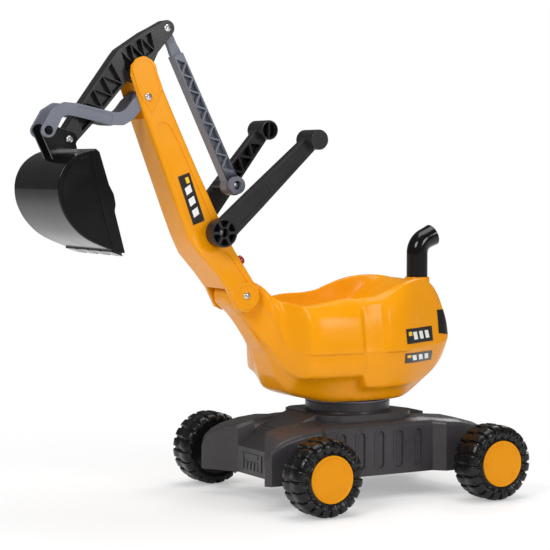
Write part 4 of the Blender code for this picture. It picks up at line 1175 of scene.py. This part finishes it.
class DIGGER_OT_bucket(bpy.types.Operator):
    """Bucket: a curved back and floor, side cheeks with a raised rim, ears, stubs and four teeth"""

    bl_idname = "digger.bucket"
    bl_label = "Bucket"

    def execute(self, context):
        back, inside = flowing(BACK, 5), flowing(INNER, 5)
        outer = back + [(-0.4820, 0.5550), (-0.4620, 0.4910), (-0.4590, 0.4770), (-0.4610, 0.4680)]
        outer += [(-0.4450, 0.4050)]
        bucket = slab("bucket_shell", outer, -0.0850, 0.0850, edge=0.0042, steps=4)
        band = [(-0.4970, 0.5580), (-0.4820, 0.5565), (-0.4600, 0.4910), (-0.4572, 0.4770)]
        band += [(-0.4592, 0.4680), (-0.4425, 0.4050), (-0.4600, 0.4060), (-0.4790, 0.4690)]
        band = [band[0]] + rounded(band[1:6], 0.003, 2)[3:-3] + band[5:]
        weld(bucket, slab("rim", band, -0.0870, 0.0870, edge=0.0009))
        cheek = [(-0.5000, 0.5480), (-0.4860, 0.4700), (-0.4700, 0.4200), (-0.4660, 0.4165)]
        cheek += [(-0.5000, 0.4320), (-0.5230, 0.4500), (-0.5390, 0.4760), (-0.5430, 0.4990)]
        cheek += [(-0.5390, 0.5180), (-0.5280, 0.5350), (-0.5140, 0.5450)]
        for sign in (-1, 1):
            ends = sorted((sign * 0.0836, sign * 0.0858))
            weld(bucket, slab("cheek", rounded(cheek, 0.004, 3), *ends, edge=0.0007))
        mouth = [(-0.4500, 0.5600), (-0.4200, 0.4900), (-0.4200, 0.4062)]
        carve(bucket, slab("inside", inside + mouth, -0.0820, 0.0820, edge=0.0025, steps=3))
        ear = [(-0.5260, 0.5400), (-0.5330, 0.5560)] + arc(LINK_STUB, 0.0100, 200, 60, 12)
        ear += arc(BUCKET_AXIS, 0.0125, 70, -30, 10) + [(-0.4880, 0.5575), (-0.5100, 0.5525)]
        for sign in (-1, 1):
            weld(bucket, slab("ear", ear, *sorted((sign * 0.0130, sign * 0.0175)), edge=0.0006))
            stub = bar("stub", LINK_STUB, *sorted((sign * 0.0140, sign * 0.0250)), 0.0042, 32, 0.0004)
            for turn in (0, 90):
                u, v = math.cos(math.radians(turn + 45)), math.sin(math.radians(turn + 45))
                long, wide = 0.0042, 0.0006
                corners = ((long, wide), (long, -wide), (-long, -wide), (-long, wide))
                groove = [(a * u - b * v, a * v + b * u) for a, b in corners]
                at = [(LINK_STUB[0] + a, LINK_STUB[1] + b) for a, b in groove]
                carve(stub, slab("stub_groove", at, *sorted((sign * 0.0238, sign * 0.03))))
            weld(bucket, stub)
        for i in range(4):
            x = 0.0435 * (i - 1.5)
            half = [(0.0195, -0.4640), (0.0195, -0.4520), (0.0165, -0.4445), (0.0110, -0.4432)]
            plan = [(x - u, y) for u, y in half] + [(x + u, y) for u, y in reversed(half)]
            tooth = slab("tooth", plan, 0.3992, 0.4125, "Z")
            under = [(-0.48, 0.39), (-0.40, 0.39), (-0.40, 0.3985), (-0.4425, 0.3995)]
            under += [(-0.4640, 0.4068), (-0.48, 0.4068)]
            over = [(-0.40, 0.42), (-0.40, 0.4002), (-0.4432, 0.4002), (-0.4560, 0.4127), (-0.4560, 0.42)]
            carve(tooth, slab("under", under, -0.1, 0.1), slab("over", over, -0.1, 0.1))
            weld(bucket, tooth)
        carve(bucket, bar("bucket_bore", BUCKET_AXIS, -0.05, 0.05, 0.0033, 24))
        settle(bucket, "digging_bucket", LOOKS["gloss"], "black_gloss", "bucket", smooth=30)
        return {"FINISHED"}


# Fasteners

# name, pivot, head face x, nut face x, shank radius, head radius, body, CAD bolt
BOLTS = (
    ("base_bolt", BOOM_BASE, 0.0425, -0.0425, 0.0030, 0.0058, "boom", "boom_base_bolt"),
    ("link_bolt_head", LINK_AXIS, 0.0310, -0.0310, 0.0030, 0.0058, "boom", "link_bolt"),
    ("lever_bolt_head", LEVER_AXIS, 0.0475, -0.0475, 0.0040, 0.0068, "boom", "lever_bolt"),
    ("rod_bolt_head", ROD_TOP, 0.0115, -0.0115, 0.0030, 0.0058, "dipper", "rod_top_bolt"),
    ("bucket_bolt_head", BUCKET_AXIS, 0.0175, -0.0175, 0.0030, 0.0058, "dipper", "bucket_bolt"),
    ("rod_screw", ROD_LOW, 0.0105, -0.0280, 0.0030, 0.0058, "control_lever", "rod_low_screw"),
)


class DIGGER_OT_fasteners(bpy.types.Operator):
    """Fasteners: domed bolts with a hexagon socket, and their bevelled nuts"""

    bl_idname = "digger.fasteners"
    bl_label = "Bolts and nuts"

    def execute(self, context):
        for name, yz, near, far, shank, head, body, cad in BOLTS:
            has_nut = f"{cad}_nut" in frame["nodes"]
            length = near - far + 0.0065
            outline = [(0, 0.0031), (head * 0.30, 0.0030), (head * 0.62, 0.0026), (head * 0.86, 0.0018)]
            outline += [(head * 0.97, 0.0009), (head, 0.0002), (head * 0.985, 0), (shank, 0)]
            outline += [(shank, 0.0004 - length), (shank - 0.0004, -length), (0, -length)]
            bolt = turned(name, outline, (near + GAP, *yz), (1, 0, 0), 40)
            carve(bolt, bar("socket", yz, near + 0.0010, near + 0.01, head * 0.36, 6))
            settle(bolt, body, LOOKS["steel"], "zinc_steel", cad)
            if has_nut:
                nut = bar(f"{name}_nut", yz, far - GAP - 0.0045, far - GAP, head * 0.98, 6, 0.0004)
                carve(nut, bar("thread", yz, far - 0.02, far + 0.02, shank + GAP, 24))
                settle(nut, body, LOOKS["steel"], "zinc_steel", f"{cad}_nut")
        slots = {part["node"]: part["material_slot"] for part in frame["record"]["subparts"]}
        look_of = {"zinc_steel": "steel", "grey_link": "link", "dark_frame": "frame"}
        for name, node in frame["nodes"].items():
            look = look_of.get(slots[name])
            if look:
                node.data.materials.clear()
                node.data.materials.append(LOOKS[look])
        return {"FINISHED"}


# Labels: plain generic bars, laid on the skin


def label(name, target, body, corners, lift, columns, rows, look):
    """A label laid on a piece: corners are its (x, y, z), from its lower front."""
    deselect()
    bpy.ops.mesh.primitive_grid_add(x_subdivisions=columns, y_subdivisions=rows, size=2)
    obj = named(name)
    low_front, low_rear, high_rear, high_front = (Vector(c) + Vector((0, HOME, 0)) for c in corners)
    for vertex in obj.data.vertices:
        s, t = (vertex.co.x + 1) / 2, (vertex.co.y + 1) / 2
        vertex.co = low_front.lerp(low_rear, s).lerp(high_front.lerp(high_rear, s), t)
    finish_modifier(
        obj, "SHRINKWRAP", target=target, wrap_method="NEAREST_SURFACEPOINT",
        wrap_mode="ABOVE_SURFACE", offset=lift,
    )
    finish_modifier(obj, "SOLIDIFY", thickness=0.0003, offset=0)
    face_out(obj)
    pick(obj)
    bpy.ops.object.shade_smooth_by_angle(angle=math.radians(40))
    obj.data.materials.clear()
    obj.data.materials.append(look)
    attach(obj, body)
    return obj


class DIGGER_OT_labels(bpy.types.Operator):
    """Labels: plain barred plates on the boom and flanks, and a blank shield at each rear corner"""

    bl_idname = "digger.labels"
    bl_label = "Labels"

    def execute(self, context):
        house, arm = SHELLS["house"], SHELLS["boom"]
        for sign, hand in ((1, "left"), (-1, "right")):
            flank = [(sign * 0.118, 0.040, 0.2495), (sign * 0.080, 0.112, 0.2495)]
            flank += [(sign * 0.078, 0.110, 0.2735), (sign * 0.116, 0.038, 0.2735)]
            label(f"flank_label_{hand}", house, "house", flank, 0.0004, 40, 12, LOOKS["badge"])
            low = [(sign * 0.118, 0.039, 0.2180), (sign * 0.078, 0.112, 0.2180)]
            low += [(sign * 0.080, 0.112, 0.2340), (sign * 0.119, 0.039, 0.2340)]
            label(f"lower_label_{hand}", house, "house", low, 0.0004, 40, 8, LOOKS["badge"])
            x = sign * 0.0335
            corners = ((0, -0.0105), (1, -0.0105), (1, 0.0105), (0, 0.0105))
            plate = [(x, *between((-0.3165, 0.5210), (-0.2905, 0.4465), t, s)) for t, s in corners]
            label(f"boom_label_{hand}", arm, "boom", plate, 0.0004, 24, 6, LOOKS["badge"])
            shield = [(sign * 0.072, 0.130, 0.2600), (sign * 0.048, 0.166, 0.2540)]
            shield += [(sign * 0.046, 0.160, 0.2960), (sign * 0.066, 0.130, 0.2980)]
            label(f"tail_label_{hand}", house, "house", shield, 0.0004, 16, 16, LOOKS["mark"])
        return {"FINISHED"}


# Stage


def studio_paper():
    """White paper that fades into the white beyond it."""
    paper = bpy.data.materials.new("studio_paper")
    paper.use_nodes = True
    tree = paper.node_tree
    shader = tree.nodes["Principled BSDF"]
    shader.inputs["Base Color"].default_value = (0.93, 0.93, 0.93, 1)
    shader.inputs["Roughness"].default_value = 0.6
    shader.inputs["Specular IOR Level"].default_value = 0.1
    place = tree.nodes.new("ShaderNodeTexCoord")
    reach = tree.nodes.new("ShaderNodeVectorMath")
    reach.operation = "LENGTH"
    tree.links.new(place.outputs["Object"], reach.inputs[0])
    fade = tree.nodes.new("ShaderNodeMapRange")
    fade.interpolation_type = "SMOOTHSTEP"
    fade.inputs["From Min"].default_value = 0.3
    fade.inputs["From Max"].default_value = 1.0
    fade.inputs["To Min"].default_value = 0.38
    tree.links.new(reach.outputs["Value"], fade.inputs["Value"])
    ray = tree.nodes.new("ShaderNodeLightPath")
    seen = tree.nodes.new("ShaderNodeMath")
    seen.operation = "MULTIPLY"
    tree.links.new(fade.outputs["Result"], seen.inputs[0])
    tree.links.new(ray.outputs["Is Camera Ray"], seen.inputs[1])
    white = tree.nodes.new("ShaderNodeEmission")
    mix = tree.nodes.new("ShaderNodeMixShader")
    tree.links.new(seen.outputs["Value"], mix.inputs["Fac"])
    tree.links.new(shader.outputs["BSDF"], mix.inputs[1])
    tree.links.new(white.outputs["Emission"], mix.inputs[2])
    tree.links.new(mix.outputs["Shader"], tree.nodes["Material Output"].inputs["Surface"])
    return paper


def studio_air():
    """White to the camera, softer as light, and softer still in reflections."""
    world = bpy.data.worlds.new("studio_air")
    world.use_nodes = True
    tree = world.node_tree
    ray = tree.nodes.new("ShaderNodeLightPath")
    strength = 0.42
    for ray_kind, change in (("Is Camera Ray", 0.58), ("Is Glossy Ray", -0.30)):
        step = tree.nodes.new("ShaderNodeMath")
        step.operation = "MULTIPLY_ADD"
        tree.links.new(ray.outputs[ray_kind], step.inputs[0])
        step.inputs[1].default_value = change
        if isinstance(strength, float):
            step.inputs[2].default_value = strength
        else:
            tree.links.new(strength, step.inputs[2])
        strength = step.outputs["Value"]
    tree.nodes["Background"].inputs["Color"].default_value = (1, 1, 1, 1)
    tree.links.new(strength, tree.nodes["Background"].inputs["Strength"])
    return world


class DIGGER_OT_stage(bpy.types.Operator):
    """Stage: a pale floor, soft lamps and the camera"""

    bl_idname = "digger.stage"
    bl_label = "Stage"

    def execute(self, context):
        deselect()
        bpy.ops.mesh.primitive_plane_add(size=60, location=(0, 0, -0.0004))
        floor = named("studio_floor")
        floor.data.materials.append(studio_paper())
        context.scene.world = studio_air()
        aim = Vector((0, 0.15, 0.35))
        lamps = (
            ("key", (1.5, -2.2, 2.1), 1.1, 40),
            ("side", (2.7, 0.9, 1.3), 0.8, 18),
            ("back", (-1.4, 2.2, 2.2), 1.2, 24),
            ("top", (0.1, 0.1, 3.2), 2.0, 44),
        )
        for name, place, size, power in lamps:
            bpy.ops.object.light_add(type="AREA", location=place)
            lamp = bpy.context.active_object
            lamp.name = f"lamp_{name}"
            lamp.data.size = size
            lamp.data.energy = power
            lamp.rotation_euler = (aim - Vector(place)).to_track_quat("-Z", "Y").to_euler()
        azimuth, rise = math.radians(60.3), math.radians(3.2)
        flat = math.cos(rise)
        back = Vector((math.sin(azimuth) * flat, -math.cos(azimuth) * flat, math.sin(rise)))
        right = Vector((math.cos(azimuth), math.sin(azimuth), 0))
        up = back.cross(right)
        target = Vector((0, HOME, 0.37)) - right * 0.119 - up * 0.014
        bpy.ops.object.camera_add(location=target + back * 3.13)
        camera = bpy.context.active_object
        camera.rotation_euler = back.to_track_quat("Z", "Y").to_euler()
        camera.data.sensor_width = 36
        camera.data.lens = 124.9
        camera.data.clip_end = 100
        context.scene.camera = camera
        context.scene.view_settings.view_transform = "Standard"
        return {"FINISHED"}


class DIGGER_PT_panel(bpy.types.Panel):
    """Lists the digger's settings and the pieces that can be made"""

    bl_idname = "DIGGER_PT_panel"
    bl_label = "Ride-on digger"
    bl_space_type = "VIEW_3D"
    bl_region_type = "UI"
    bl_category = "Digger"

    def draw(self, context):
        for settings in (context.scene.digger_colours, context.scene.digger_sizes):
            box = self.layout.box()
            for key in settings.bl_rna.properties.keys():
                if key not in ("rna_type", "name"):
                    box.prop(settings, key)
        for maker in MAKERS:
            self.layout.operator(maker.bl_idname)


MAKERS = (
    DIGGER_OT_stage,
    DIGGER_OT_house,
    DIGGER_OT_exhaust,
    DIGGER_OT_boom,
    DIGGER_OT_knob,
    DIGGER_OT_undercarriage,
    DIGGER_OT_wheels,
    DIGGER_OT_levers,
    DIGGER_OT_push_rod,
    DIGGER_OT_stick,
    DIGGER_OT_link,
    DIGGER_OT_bucket,
    DIGGER_OT_fasteners,
    DIGGER_OT_labels,
)


def register():
    for kind in (DiggerColours, DiggerSizes, *MAKERS, DIGGER_PT_panel):
        bpy.utils.register_class(kind)
    bpy.types.Scene.digger_colours = bpy.props.PointerProperty(type=DiggerColours)
    bpy.types.Scene.digger_sizes = bpy.props.PointerProperty(type=DiggerSizes)


def unregister():
    del bpy.types.Scene.digger_sizes
    del bpy.types.Scene.digger_colours
    for kind in reversed((DiggerColours, DiggerSizes, *MAKERS, DIGGER_PT_panel)):
        bpy.utils.unregister_class(kind)


def main():
    register()
    prepare_looks(bpy.context.scene.digger_colours)
    for maker in MAKERS:
        area, act = maker.bl_idname.split(".")
        getattr(getattr(bpy.ops, area), act)()
    deselect()


if __name__ == "__main__":
    main()
